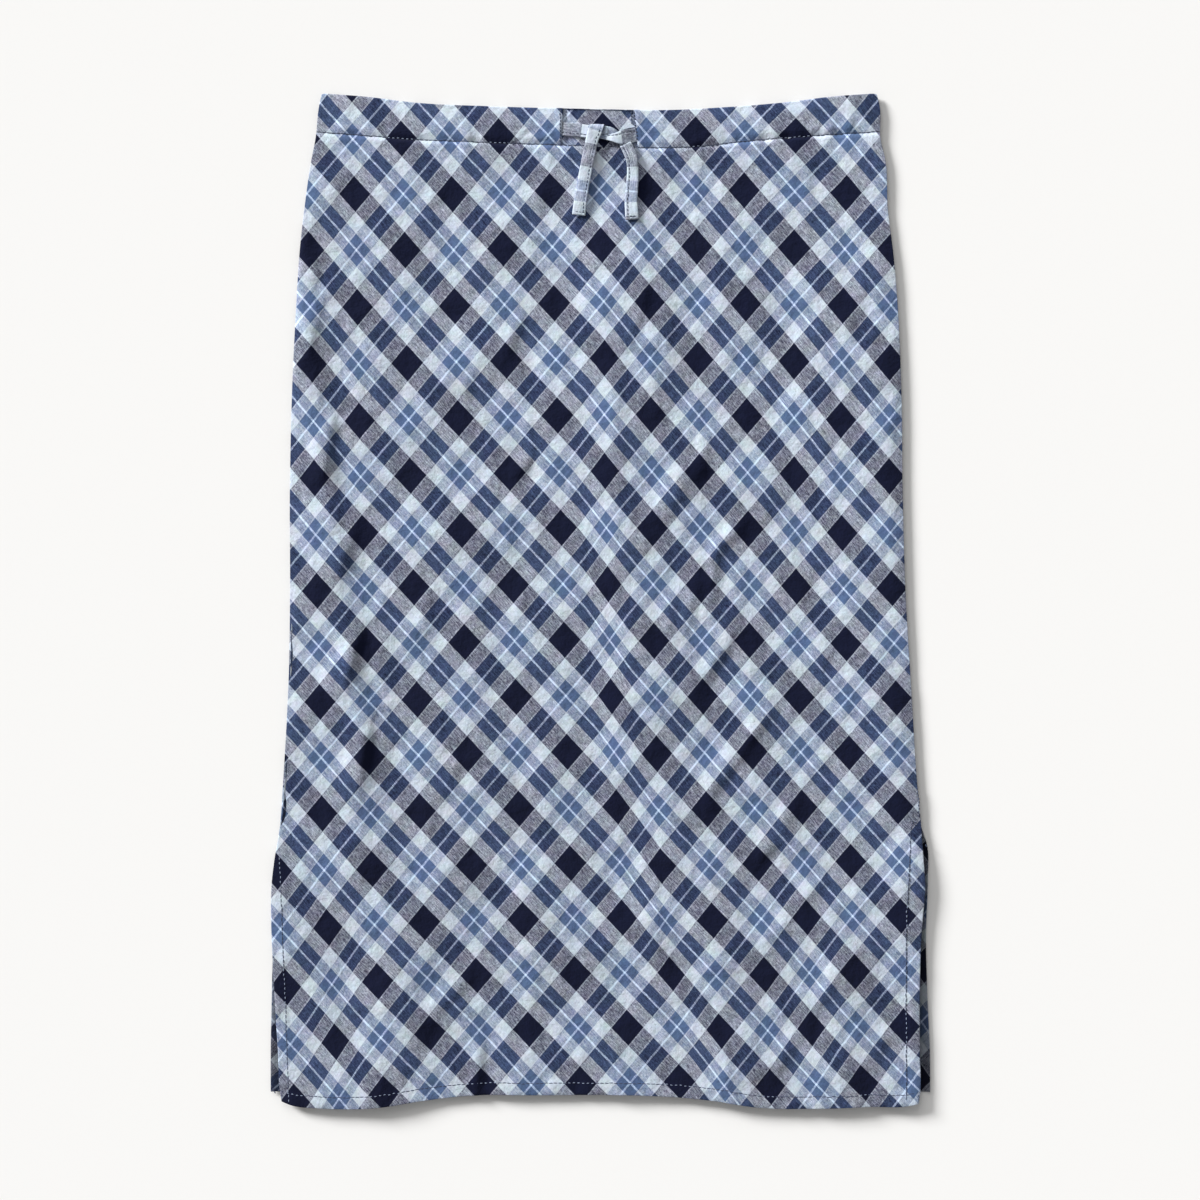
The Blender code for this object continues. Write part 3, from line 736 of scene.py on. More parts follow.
def plaid_finish(name, look, relief=1.0, shade=1.0):
    """Woven plaid.  Each set of threads takes its stripe's colour from its own
    coordinate, and the two sets show in turn, six parts to four, with specks
    where one slips over the other.  The colour darkens towards the hem as painted
    shade.  Threads and fine crinkles are bump.  A shade below 1 darkens the colour
    as painted shade, for cloth that lies in a slit's shade."""
    finish = Finish(name, Roughness=0.88, Sheen_Weight=0.12, Sheen_Roughness=0.45,
                    Specular_IOR_Level=0.15)
    place = finish.add("ShaderNodeUVMap", {"uv_map": "cloth"})
    warp = finish.add("ShaderNodeSeparateXYZ", None, {0: place}, "X")
    weft = warp.beside("Y")
    solid = finish.add("ShaderNodeTexCoord", output="Object")

    def grain(fine_u, fine_v):
        """Noise on the plaid's coordinates, so many bumps to a repeat each way."""
        vector = finish.add("ShaderNodeCombineXYZ", None, {0: warp * fine_u, 1: weft * fine_v})
        return finish.add("ShaderNodeTexNoise", {"noise_dimensions": "2D"},
                          {"Vector": vector, "Scale": 1.0, "Detail": 1.0}, "Fac")

    sway = (grain(7, 7) - 0.5) * SWAY

    def stripes(coordinate):
        """One set's colour: its repeat runs up to half way and back again."""
        wrapped = finish.add("ShaderNodeMath", {"operation": "PINGPONG"},
                             {0: coordinate + sway, 1: 0.5})
        stops = stripe_stops(yarn(look.navy), yarn(look.pale), yarn(look.denim), yarn(look.line))
        return finish.add("ShaderNodeValToRGB", {"stops": stops}, {0: wrapped * 2.0}, "Color")

    warp_colour, weft_colour = stripes(warp), stripes(weft)
    specks = grain(130, 30) - grain(30, 130)
    slips = (grain(8, 72) - 0.5) * SLIPS
    share = (WEFT_SHARE + specks * look.heather + slips - warp_colour.beside("Alpha") * WARP_SHOWS
             + weft_colour.beside("Alpha") * WEFT_SHOWS)
    blend = finish.add("ShaderNodeMix", {"data_type": "RGBA", "clamp_factor": True},
                       {"Factor": share, 6: warp_colour, 7: weft_colour}, 2)
    apart = finish.add("ShaderNodeVectorMath", {"operation": "SUBTRACT"},
                       {0: warp_colour, 1: weft_colour})
    apart = finish.add("ShaderNodeVectorMath", {"operation": "ABSOLUTE"}, {0: apart})
    mauve = finish.add("ShaderNodeVectorMath", {"operation": "MULTIPLY_ADD"},
                       {0: apart, 1: MAUVE, 2: blend})
    tint = finish.add("ShaderNodeTexNoise", None,
                      {"Vector": solid, "Scale": 85.0, "Detail": 3.0, "Roughness": 0.8}, "Color")
    tint = finish.add("ShaderNodeVectorMath", {"operation": "MULTIPLY_ADD"},
                      {0: tint, 1: (TINT,) * 3, 2: (1 - TINT / 2,) * 3})
    tinted = finish.add("ShaderNodeVectorMath", {"operation": "MULTIPLY"}, {0: mauve, 1: tint})
    tone = 1.0 + (grain(70, 6) - 0.5) * WARP_STREAKS + (grain(6, 70) - 0.5) * WEFT_STREAKS
    up_the_skirt = finish.add("ShaderNodeSeparateXYZ", None, {0: solid}, "Y")
    # painted shade: the colour darkens towards the hem, and by the shade factor where a slit's shade
    # falls
    fall = (PAINTED_SHADE_MIDDLE + up_the_skirt * HEM_PAINTED_SHADE) * shade
    toned = finish.add("ShaderNodeVectorMath", {"operation": "SCALE"},
                       {0: tinted, "Scale": tone * fall})
    colour = finish.add("ShaderNodeGamma", None,
                        {"Color": toned, "Gamma": DISPLAY_GAMMA / BLEND_POWER})

    creases = finish.add("ShaderNodeTexNoise", None,
                         {"Vector": solid, "Scale": 120.0, "Detail": 4.0, "Roughness": 0.62}, "Fac")
    threads = finish.add("ShaderNodeTexNoise", None,
                         {"Vector": solid, "Scale": 1100.0, "Detail": 1.0}, "Fac")
    height = creases * (CRINKLE_HEIGHT * relief) + threads * THREAD_HEIGHT
    bump = finish.add("ShaderNodeBump", None, {"Strength": 1.0, "Distance": 1.0, "Height": height})
    return finish.feed(Base_Color=colour, Normal=bump)


def thread_finish(name, dark, light):
    """Sewing thread, mottled along its twist.  The tone in its own coordinate
    says how pale it looks: on the navy checks the thread's own colour, and on the
    pale checks a dark colour, painted shade of the sunken stitches and their holes."""
    finish = Finish(name, Roughness=0.6, Sheen_Weight=0.1)
    place = finish.add("ShaderNodeUVMap", {"uv_map": "cloth"})
    tone = finish.add("ShaderNodeSeparateXYZ", None, {0: place}, "X")
    solid = finish.add("ShaderNodeTexCoord", output="Object")
    twist = finish.add("ShaderNodeTexNoise", None, {"Vector": solid, "Scale": 900.0}, "Fac")
    first, last = (tuple((part / 255) ** DISPLAY_GAMMA for part in colour) + (1.0,)
                   for colour in (dark, light))
    shade = finish.add("ShaderNodeMix", {"data_type": "RGBA"}, {"Factor": tone, 6: first, 7: last}, 2)
    mottled = finish.add("ShaderNodeVectorMath", {"operation": "SCALE"},
                         {0: shade, "Scale": 0.65 + twist * 0.7})
    return finish.feed(Base_Color=mottled)


def floor_finish(brightness):
    """Pale matte paper, faintly mottled."""
    finish = Finish("pale_floor", Roughness=0.9, Specular_IOR_Level=0.1)
    solid = finish.add("ShaderNodeTexCoord", output="Object")
    mottle = finish.add("ShaderNodeTexNoise", None, {"Vector": solid, "Scale": 3.0}, "Fac")
    stops = ((0.0, (brightness, brightness * 0.992, brightness * 0.976, 1.0)),
             (1.0, (brightness * 1.004, brightness * 0.996, brightness * 0.980, 1.0)))
    shade = finish.add("ShaderNodeValToRGB", {"stops": stops}, {0: mottle}, "Color")
    return finish.feed(Base_Color=shade)


def spaced(low, high, step):
    """Even places from low to high, about step apart, with both ends."""
    return np.linspace(low, high, max(2, int(round((high - low) / step)) + 1))


def window_edges():
    """How far across the front the window's left and right edges lie."""
    return [float(across_of(x, WINDOW_Y))
            for x in (WINDOW_LEFT, WINDOW_RIGHT + WINDOW_SLANT / 2)]


def body_columns(step):
    """Places across the front: fine at the two folded edges, even between them,
    with the window's edges among them."""
    edge = np.append(edge_steps(BODY_RIM), 3 * BODY_RIM) / GRID_WIDTH
    inner = 0.0030 / GRID_WIDTH
    step = step / GRID_WIDTH
    low, high = window_edges()
    return np.concatenate([
        edge,
        spaced(inner, low, step)[:-1],
        spaced(low, high, step)[:-1],
        spaced(high, 1 - inner, step),
        1 - edge[::-1],
    ])


def doubled(columns):
    """The same places with one more between each two."""
    return np.sort(np.concatenate([columns, (columns[1:] + columns[:-1]) / 2]))


def turned_over(from_hem, from_side, in_slit):
    """1 on the turned edges of the hem and the slits and 0 past them, eased at the
    end of each turn."""
    at_hem, at_slit = (1 - ease(distance, width - 0.0008, width + 0.0006)
                       for distance, width in ((from_hem, HEM_DEPTH), (from_side, SLIT_TURN)))
    return np.maximum(at_hem, in_slit * at_slit)


def make_front_body(look):
    """The front below its casing: even rows from the stitch line to the hem, and
    closer ones round the hem's fold, at the front's height."""
    across = body_columns(look.mesh_step)[None, :]
    top = stitch_line(across)
    hem = front_hem_line(across)
    rim = edge_steps(look.cloth)[::-1] / LENGTH
    down_step = ROW_STEP * look.mesh_step / LENGTH
    share = np.append(spaced(0.0, 1 - 0.003 / LENGTH, down_step), 1 - rim)[:, None]
    y = top + (hem - top) * share
    left, right = side_lines(y)
    x = left + (right - left) * across
    from_side = np.minimum(x - left, right - x)
    from_hem = y - hem

    z = rolled(front_height(x, y), from_side, y, SEAM_ROLL, SEAM_HEIGHT)
    turn = turned_over(from_hem, from_side, 1 - ease(y, SLIT_TOP - 0.006, SLIT_TOP))
    half = rounded(np.minimum(from_side, from_hem), look.cloth / 2 * (1 + TURN_SWELL * turn))
    middle = np.stack([x, y, z + turn * look.cloth * FRONT_TURN_RISE], axis=-1)
    return cloth_shell("front_body", middle, half, plaid_place(x, y),
                       plaid_finish("front_plaid_cloth", look))


def make_front_casing(look):
    """The front's top, in rows: up the turned-in layer, round the fold at the waist
    on a half circle, and down the outer layer to the stitch line.  The window is
    left out of the outer layer, whose edges beside it are thicker."""
    across = doubled(body_columns(look.mesh_step))[None, :]
    waist = waist_line(across)
    depth = edge_offset(across, STITCH_DROP)
    fold_y = waist - FOLD_PLACE
    radius = (front_height(x_across(across, fold_y), fold_y) - FRONT_TURN_MID) / 2

    inner_share = np.array([1.0, 0.97, 0.80, 0.65, 0.5, 0.38, 0.27, 0.18, 0.10])[:, None]
    inner_drop = radius + (TURN_IN - radius) * inner_share
    angles = np.linspace(-math.pi / 2, math.pi / 2, 11)[:, None]
    turn_drop = radius * (1 - np.cos(angles))
    turn_height = FRONT_TURN_MID + radius * (1 + np.sin(angles))
    outer_share = np.linspace(0, 1, 27)[1:, None]
    outer_drop = radius + (depth - radius) * outer_share
    drop = np.concatenate([inner_drop, turn_drop, outer_drop])

    y = waist - drop
    left, right = side_lines(y)
    x = left + (right - left) * across
    lean = bell(x - WINDOW_RIGHT - WINDOW_SLANT / 2, 0.012)
    x = x + lean * WINDOW_SLANT * (drop / CASING_DEPTH - 0.5)
    from_side = np.minimum(x - left, right - x)
    inner_z = FRONT_TURN_MID + crinkle(x, y, 41)[:len(inner_drop)] * 0.5
    outer_z = rolled(front_height(x, y), from_side, y, SEAM_ROLL, SEAM_HEIGHT)
    z = np.concatenate([inner_z, turn_height * np.ones_like(across), outer_z[-len(outer_drop):]])
    first_fold = len(inner_drop)
    first_outer = first_fold + len(turn_drop)
    fold_top = first_fold + len(turn_drop) // 2
    rows = np.arange(len(drop))[:, None]
    tucked = 1 - ease(rows, first_fold + 3, first_outer - 1)
    squeeze = 1 - tucked * TUCK_INSET / (right - left) * 2
    centre = (left + right) / 2
    x = centre + (x - centre) * squeeze
    fold = slice(first_fold, first_outer)
    z[fold] = rolled(z, from_side, y, FOLD_ROLL, FRONT_TURN_MID)[fold]
    middle = np.stack([x, y, z], axis=-1)

    places = plaid_place(x, y)
    shifted = plaid_place(x - TURNED_SHIFT[0], y - TURNED_SHIFT[1])
    places[:fold_top] = shifted[:fold_top]

    columns = across[0]
    low, high = window_edges()
    first = int(np.argmin(abs(columns - low)))
    last = int(np.argmin(abs(columns - high)))
    keep = np.ones((len(drop) - 1, len(columns) - 1), bool)
    keep[fold_top:, first:last] = False

    from_window = np.where((columns <= low) | (columns >= high),
                           np.minimum(abs(x - x[:, first:first + 1]),
                                      abs(x - x[:, last:last + 1])), 0.0)
    half = rounded(from_side, look.cloth / 2)
    folded = half * (1 + WINDOW_SWELL * (1 - ease(from_window, 0.004, 0.005)))
    half = np.where(rows >= fold_top, rounded(from_window + SPLIT_GAP, folded), half)
    return cloth_shell("front_casing", middle, half, places,
                       plaid_finish("casing_plaid_cloth", look), keep)


def make_back(look):
    """The back panel, in rows from the end of its turned-in layer, round the fold
    at the waist, to the hem.  It is level where it rests, rises to the side seams
    and curls at the slits."""
    sides = [side for side in FRONT_SIDES if side.y > SLIT_TOP] + list(BACK_SLIT_SIDES)
    edge = np.append(edge_steps(look.cloth), 0.0014) / GRID_WIDTH
    inner = spaced(0.007, 0.993, BACK_STEP / GRID_WIDTH)
    across = np.concatenate([edge, inner, 1 - edge[::-1]])[None, :]
    waist = waist_line(across)
    low_mid = look.cloth / 2 + BACK_LIFT
    radius = (BACK_TURN_MID - low_mid) / 2
    angles = np.linspace(math.pi / 2, -math.pi / 2, 9)[:, None]
    inner_drop = spaced(TURN_IN, radius, 0.004)[:, None] * np.ones_like(across)
    turn_drop = radius * (1 - np.cos(angles)) * np.ones_like(across)
    turn_height = low_mid + radius * (1 + np.sin(angles))
    hem = -LENGTH / 2 + BACK_HEM_RISE + 0.0006 * soft_noise(across, 0 * across, 0.11, 5)
    rim = edge_steps(look.cloth)[::-1] / LENGTH
    share = np.append(spaced(0.004, 1 - 0.003 / LENGTH, BACK_STEP / LENGTH), 1 - rim)[:, None]
    start = waist - radius
    y = np.concatenate([waist - inner_drop, waist - turn_drop, start + (hem - start) * share])

    left, right = side_lines(y, sides)
    first_fold = len(inner_drop)
    first_body = first_fold + len(turn_drop)
    fold_top = first_fold + len(turn_drop) // 2
    rows = np.arange(len(y))[:, None]
    on_body = rows >= first_body
    tucked = 1 - ease(rows, fold_top, fold_top + 6)
    sewn = ease(y, SLIT_TOP - 0.004, SLIT_TOP + 0.01)
    in_slit = 1 - sewn
    inset = TUCK_INSET * tucked + BACK_SEAM_INSET * sewn * (1 - tucked)
    x = left + inset + (right - left - 2 * inset) * across
    from_side = np.minimum(x - left, right - x) - inset
    from_hem = y - hem

    turn = turned_over(from_hem, from_side, in_slit) * on_body
    rise = sewn * (SEAM_HEIGHT - BACK_SEAM_DROP) * (1 - ease(from_side, 0.0, 0.009))
    curl = np.where(x < 0, SLIT_CURL * (1 - ease(from_side, 0.0, 0.010)),
                    RIM_CURL * (1 - ease(from_side, 0.0, 0.0028)))
    z = np.full_like(x, low_mid)
    z[:first_fold] = BACK_TURN_MID
    z[first_fold:first_body] = turn_height
    z += turn * look.cloth * BACK_TURN_RISE + on_body * (rise + in_slit * curl)
    half = rounded(np.where(on_body, np.minimum(from_side, from_hem), from_side),
                   look.cloth / 2 * (1 + TURN_SWELL * turn))
    middle = np.stack([x, y, z], axis=-1)

    corner = plaid_place(*np.array(BACK_CORNER)[:, None])
    places = plaid_place(-x, y) - (corner - np.round(corner)) + BACK_CORNER_OFF
    # the back's colour is darkened by painted shade, for the shade of the front's edges
    return cloth_shell("back_body", middle, half, places,
                       plaid_finish("back_plaid_cloth", look, shade=BACK_PAINTED_SHADE))


# The drawstring's two strands, each from inside the casing to its tail's end.
# "turn" is the way that the strip's width points, in degrees from +X.
Station = namedtuple("Station", "x y z width turn")
LEFT_TO_RIGHT = (
    Station(-0.0395, 0.3655, 0.0044, 1.04, 92),
    Station(-0.0298, 0.3649, 0.0044, 1.04, 92),
    Station(-0.0195, 0.3640, 0.0046, 1.00, 93),
    Station(-0.0105, 0.3628, 0.0054, 0.94, 92),
    Station(-0.0025, 0.3622, 0.0060, 0.86, 88),
    Station(0.0040, 0.3626, 0.0062, 0.80, 82),
    Station(0.0090, 0.3622, 0.0058, 0.62, 72),
    Station(0.0132, 0.3600, 0.0045, 0.46, 52),
    Station(0.0165, 0.3568, 0.0042, 0.56, 36),
    Station(0.0190, 0.3532, 0.0048, 0.84, 26),
    Station(0.0211, 0.3492, 0.0064, 0.92, 20),
    Station(0.0230, 0.3448, 0.0066, 0.90, 14),
    Station(0.0244, 0.3392, 0.0064, 0.86, 7),
    Station(0.0249, 0.3326, 0.0060, 0.84, 2),
    Station(0.0247, 0.3239, 0.0054, 0.88, -3),
    Station(0.0241, 0.3152, 0.0048, 0.90, -4),
    Station(0.0236, 0.3081, 0.0044, 0.94, -3),
    Station(0.0240, 0.3010, 0.0042, 0.97, 1),
    Station(0.0244, 0.2942, 0.0042, 0.98, 3),
)
RIGHT_TO_LEFT = (
    Station(0.0365, 0.3616, 0.0044, 1.04, -94),
    Station(0.0267, 0.3600, 0.0046, 1.14, -98),
    Station(0.0200, 0.3585, 0.0064, 1.12, -104),
    Station(0.0140, 0.3575, 0.0074, 0.88, -104),
    Station(0.0090, 0.3577, 0.0073, 0.58, -100),
    Station(0.0040, 0.3582, 0.0056, 0.38, -104),
    Station(-0.0005, 0.3596, 0.0046, 0.40, -132),
    Station(-0.0028, 0.3624, 0.0044, 0.66, -168),
    Station(-0.0028, 0.3654, 0.0050, 0.98, -178),
    Station(-0.0026, 0.3674, 0.0064, 1.12, -179),
    Station(-0.0030, 0.3664, 0.0080, 1.14, -178),
    Station(-0.0044, 0.3622, 0.0086, 1.06, -172),
    Station(-0.0063, 0.3568, 0.0082, 0.94, -169),
    Station(-0.0076, 0.3510, 0.0076, 0.92, -168),
    Station(-0.0088, 0.3453, 0.0070, 0.92, -168),
    Station(-0.0110, 0.3346, 0.0062, 0.92, -169),
    Station(-0.0130, 0.3239, 0.0056, 0.92, -170),
    Station(-0.0150, 0.3120, 0.0050, 0.93, -170),
    Station(-0.0162, 0.3040, 0.0045, 0.96, -173),
    Station(-0.0169, 0.2978, 0.0043, 0.98, -177),
)
TIE_THICK = 0.0014
TIE_SECTION = 14          # points along each face of the strip's section
STRAND_STEP = 0.0008      # distance between sections
FRONT_HALF = 0.00025      # half a layer of the front's cloth
TIE_CLEAR = 0.0001        # least air between a strand and the front
TAIL_FLOAT = 0.0030       # how far the knot holds the tails off the cloth beside it
END_FLOAT = 0.0006        # and how far their own stiffness does at their ends

TIE_MIDDLE = 0.258        # where in the repeat the strip's middle is cut

# Where each strand's navy stripes lie: on its band, from the strand's start, and
# on its tail, from the strand's end.  Between the two it is gathered in the knot.
Stripes = namedtuple("Stripes", "band tail gather_from gather_to")


def strand_line(stations):
    """Centres, widths and width directions, evenly spaced on a smooth curve
    through the stations.  Where a strand lies on the front it is lifted clear."""
    table = np.array(stations)
    along = distances(table[:, :3])
    places = spaced(0.0, along[-1], STRAND_STEP)
    line = np.stack([curve(places, along, table[:, k]) for k in range(5)], axis=1)
    centre = line[:, :3]
    width = line[:, 3] * TIE_WIDTH
    turn = np.radians(line[:, 4])
    side = np.stack([np.cos(turn), np.sin(turn), 0 * turn], axis=1)
    below = []
    for share in (-0.5, -0.25, 0.0, 0.25, 0.5):
        spot = centre + side * (width * share)[:, None]
        below.append(front_height(spot[:, 0], spot[:, 1]))
    cloth_top = np.max(below, axis=0) + FRONT_HALF
    drop = waist_line(across_of(centre[:, 0], centre[:, 1])) - centre[:, 1]
    outside = ease(drop, CASING_DEPTH - 0.0022, CASING_DEPTH - 0.0010)
    clear = cloth_top + TIE_THICK / 2 + TIE_CLEAR
    hang = END_FLOAT + (TAIL_FLOAT - END_FLOAT) * ease(places[-1] - places, 0.004, 0.052)
    hang = hang * ease(drop, CASING_DEPTH - 0.004, CASING_DEPTH + 0.011)
    lifted = np.maximum(centre[:, 2], clear + hang * outside)
    kernel = np.hanning(9) / np.hanning(9).sum()
    calm = np.convolve(np.pad(lifted, 4, mode="edge"), kernel, mode="valid")
    lifted = np.maximum(calm, clear)
    centre[:, 2] = centre[:, 2] * (1 - outside) + lifted * outside
    return places, centre, width, side


def strand_surface(stations, stripes, seed):
    """A flat folded strip swept along its line.  The section is two arcs whose
    half height is (1 - s^6)^(1/2) across the width, pressed in at the stitching."""
    places, centre, width, side = strand_line(stations)
    along = unit(np.gradient(centre, axis=0))
    side = unit(side - along * (side * along).sum(1, keepdims=True))
    up = np.cross(along, side)
    angle = np.linspace(0, 2 * math.pi, 2 * TIE_SECTION, endpoint=False)
    s = np.cos(angle)
    shape = np.sqrt(1 - np.abs(s) ** 6) * np.sign(np.sin(angle))
    press = 1 - 0.45 * bell(s - TIE_STITCHED_EDGE * TIE_STITCH, 0.14)
    ends = np.minimum(places, places[-1] - places)
    taper = np.sqrt(1 - (1 - np.clip(ends / (TIE_THICK / 2), 0.05, 1)) ** 2)
    taper = taper * (1 - 0.3 * bell(places[-1] - places - TIE_END_STITCH, 0.0008))
    thick = TIE_THICK / 2 * taper[:, None] * (shape * press)[None, :]
    reach = width[:, None] / 2 * s[None, :]
    wobble = 0.00022 * soft_noise(places[:, None] + 0 * s, reach, 0.006, seed)
    points = (centre[:, None, :] + side[:, None, :] * reach[..., None]
              + up[:, None, :] * (thick + wobble)[..., None])
    on_band = (places - stripes.band) / PLAID_PERIOD
    on_tail = (places - (places[-1] - stripes.tail)) / PLAID_PERIOD
    repeats = round(((places[-1] - stripes.tail) - stripes.band) / PLAID_PERIOD)
    share = ease(places, stripes.gather_from, stripes.gather_to)
    stripe = on_band + (on_tail + repeats - on_band) * share
    plaid = np.stack([stripe[:, None] + 0 * s, TIE_MIDDLE + reach / PLAID_PERIOD], axis=-1)
    return places, centre, width, side, up, points, plaid


def tube_faces(rings, sides):
    """Quads round a tube of rings, and the two end caps as strips of quads."""
    ring = np.arange(rings - 1)[:, None] * sides
    k = np.arange(sides)[None, :]
    after = (k + 1) % sides
    walls = np.stack([ring + k, ring + after, ring + sides + after, ring + sides + k], axis=-1)
    pair = np.arange(sides // 2 - 1)
    cap = np.stack([pair, pair + 1, sides - pair - 2, sides - pair - 1], axis=-1)
    last = (rings - 1) * sides
    return np.concatenate([walls.reshape(-1, 4), cap[:, ::-1], cap + last])


def joined(rows):
    """The stitches of several rows, as one array of starts and one of ends."""
    return [np.concatenate(part) for part in zip(*rows)]


def capsules(name, starts, ends, thick, finish, seed, tones=0.0):
    """Many short threads: each a spindle of six sides, stretched from its start to
    its end, a little flat in section and uneven in place."""
    rings = np.array([-0.5, -0.44, -0.25, 0.0, 0.25, 0.44, 0.5])
    radii = np.array([0.12, 0.62, 0.92, 1.0, 0.92, 0.62, 0.12])
    turn = np.linspace(0, 2 * math.pi, 6, endpoint=False)
    spindle = np.stack([np.repeat(rings[:, None], 6, 1), radii[:, None] * np.cos(turn),
                        radii[:, None] * np.sin(turn)], axis=-1).reshape(-1, 3)
    along = ends - starts
    length = np.linalg.norm(along, axis=1, keepdims=True)
    way = along / length
    over = unit(np.cross([0.0, 0.0, 1.0], way))
    rise = np.cross(way, over)
    jitter = np.random.default_rng(seed).normal(0, 1, (len(starts), 2))
    middle = (starts + ends) / 2 + over * jitter[:, :1] * thick * 0.25
    swing = over * jitter[:, 1:] * 0.06
    points = (middle[:, None, :] + (along + swing * length)[:, None, :] * spindle[None, :, :1]
              + over[:, None, :] * spindle[None, :, 1:2] * thick / 2
              + rise[:, None, :] * spindle[None, :, 2:] * thick * 0.38)
    one = tube_faces(len(rings), 6)
    faces = one[None] + (np.arange(len(starts)) * len(spindle))[:, None, None]
    tones = np.broadcast_to(tones, len(starts))
    places = np.repeat(np.stack([tones, tones], axis=1), len(spindle), axis=0)
    return make_object(name, points.reshape(-1, 3), faces.reshape(-1, 4), finish, places)


def on_navy(x, y):
    """1 where both sets of threads are navy at a place of the front, else 0."""
    off = plaid_place(x, y)
    return (np.abs(off - np.round(off)).max(axis=-1) < NAVY_HALF / 2).astype(float)


def stitch_ends(line, pitch, share):
    """Start and end points of the stitches along a line of points: one to each
    pitch, over a share of it."""
    along = distances(line)
    begins = np.arange(pitch * 0.2, along[-1] - pitch, pitch)

    def at(places):
        """Points of the line at distances along it."""
        return np.stack([np.interp(places, along, line[:, k]) for k in range(3)], axis=1)

    return at(begins), at(begins + pitch * share)


def on_front(x, y, over):
    """Points on top of the front cloth, a distance over it."""
    return np.stack([x, y, front_height(x, y) + over], axis=1)


CAMERA_PLACE = (-0.0004, 0.0004)   # where on the skirt the photo's middle is
FLOOR_HALF = 6.0


class SkirtLook(bpy.types.PropertyGroup):
    """Cloth, yarns and sewing of the skirt."""
    cloth: bpy.props.FloatProperty(
        name="Cloth", description="Thickness of one layer", default=0.0005,
        min=0.0002, max=0.001, subtype="DISTANCE", unit="LENGTH")
    mesh_step: bpy.props.FloatProperty(
        name="Mesh step", description="Distance between the front's grid lines", default=0.00255,
        min=0.002, max=0.02, subtype="DISTANCE", unit="LENGTH")
    navy: bpy.props.FloatVectorProperty(
        name="Navy yarn", description="Display colour, 0 to 255", default=(15, 21, 45), size=3)
    pale: bpy.props.FloatVectorProperty(
        name="Pale yarn", description="Display colour, 0 to 255", default=(190, 201, 213), size=3)
    line: bpy.props.FloatVectorProperty(
        name="Line yarn", description="Display colour, 0 to 255", default=(201, 222, 250), size=3)
    denim: bpy.props.FloatVectorProperty(
        name="Denim yarn", description="Display colour, 0 to 255", default=(80, 99, 133), size=3)
    heather: bpy.props.FloatProperty(
        name="Heather", description="How much the weave's specks vary", default=0.60, min=0.0, max=2.0)
    # painted shade: the dark colour that stitches take on the pale checks stands for the shade of
    # sunken stitches and their holes; the colour on navy is the thread's own
    thread: bpy.props.FloatVectorProperty(
        name="Sewing thread", description="Display colour on pale checks, 0 to 255",
        default=(50, 60, 84), size=3)
    pale_thread: bpy.props.FloatVectorProperty(
        name="Thread on navy", description="Display colour on navy checks, 0 to 255",
        default=(122, 133, 156), size=3)
    thread_size: bpy.props.FloatProperty(
        name="Thread size", description="Width of a stitch", default=0.0007,
        subtype="DISTANCE", unit="LENGTH")
    stitch: bpy.props.FloatProperty(
        name="Stitch", description="Length from one stitch to the next", default=0.0036,
        subtype="DISTANCE", unit="LENGTH")


class SkirtStage(bpy.types.PropertyGroup):
    """Floor, camera and light."""
    lens: bpy.props.FloatProperty(name="Lens", description="Focal length in mm", default=85.0)
    shown: bpy.props.FloatProperty(
        name="Shown width", description="Width of floor in view", default=0.93,
        subtype="DISTANCE", unit="LENGTH")
    floor: bpy.props.FloatProperty(name="Floor", description="Floor brightness", default=0.853)
    key: bpy.props.FloatProperty(
        name="Key light", description="Strength of the window light", default=5.5)
    far: bpy.props.FloatProperty(
        name="Far light", description="Strength of the second window", default=0.8)
    fill: bpy.props.FloatProperty(
        name="Fill light", description="Strength of the room", default=0.325)


class SKIRT_OT_stage(bpy.types.Operator):
    """Makes the camera straight above, the pale floor and the soft light"""
    bl_idname = "skirt.stage"
    bl_label = "Stage"

    def execute(self, context):
        stage = context.scene.skirt_stage
        sensor = 36.0
        camera = bpy.data.objects.new("camera", bpy.data.cameras.new("camera"))
        camera.data.lens = stage.lens
        camera.data.sensor_width = sensor
        camera.location = (*CAMERA_PLACE, stage.shown * stage.lens / sensor)
        context.scene.collection.objects.link(camera)
        context.scene.camera = camera

        corners = np.array([[-1, -1, 0], [1, -1, 0], [1, 1, 0], [-1, 1, 0]]) * FLOOR_HALF
        floor = make_object("floor", corners, np.array([[0, 1, 2, 3]]), floor_finish(stage.floor))

        # A low window at the upper left, and a wide faint one above the waist.  The
        # angle is a window's width, and the tilt is its turn about X and about Y.
        for name, strength, angle, tilt in (("window", stage.key, 17, (-32.8, -64.4)),
                                            ("far_window", stage.far, 42, (-50.0, -22.0))):
            sun = bpy.data.lights.new(name, "SUN")
            sun.energy = strength
            sun.angle = math.radians(angle)
            window = bpy.data.objects.new(name, sun)
            window.rotation_euler = (math.radians(tilt[0]), math.radians(tilt[1]), 0)
            context.scene.collection.objects.link(window)

        world = bpy.data.worlds.new("room")
        world.use_nodes = True
        world.node_tree.nodes["Background"].inputs["Color"].default_value = (1.0, 1.0, 1.0, 1.0)
        world.node_tree.nodes["Background"].inputs["Strength"].default_value = stage.fill
        context.scene.world = world
        context.scene.view_settings.view_transform = "Standard"
        return {"FINISHED"}


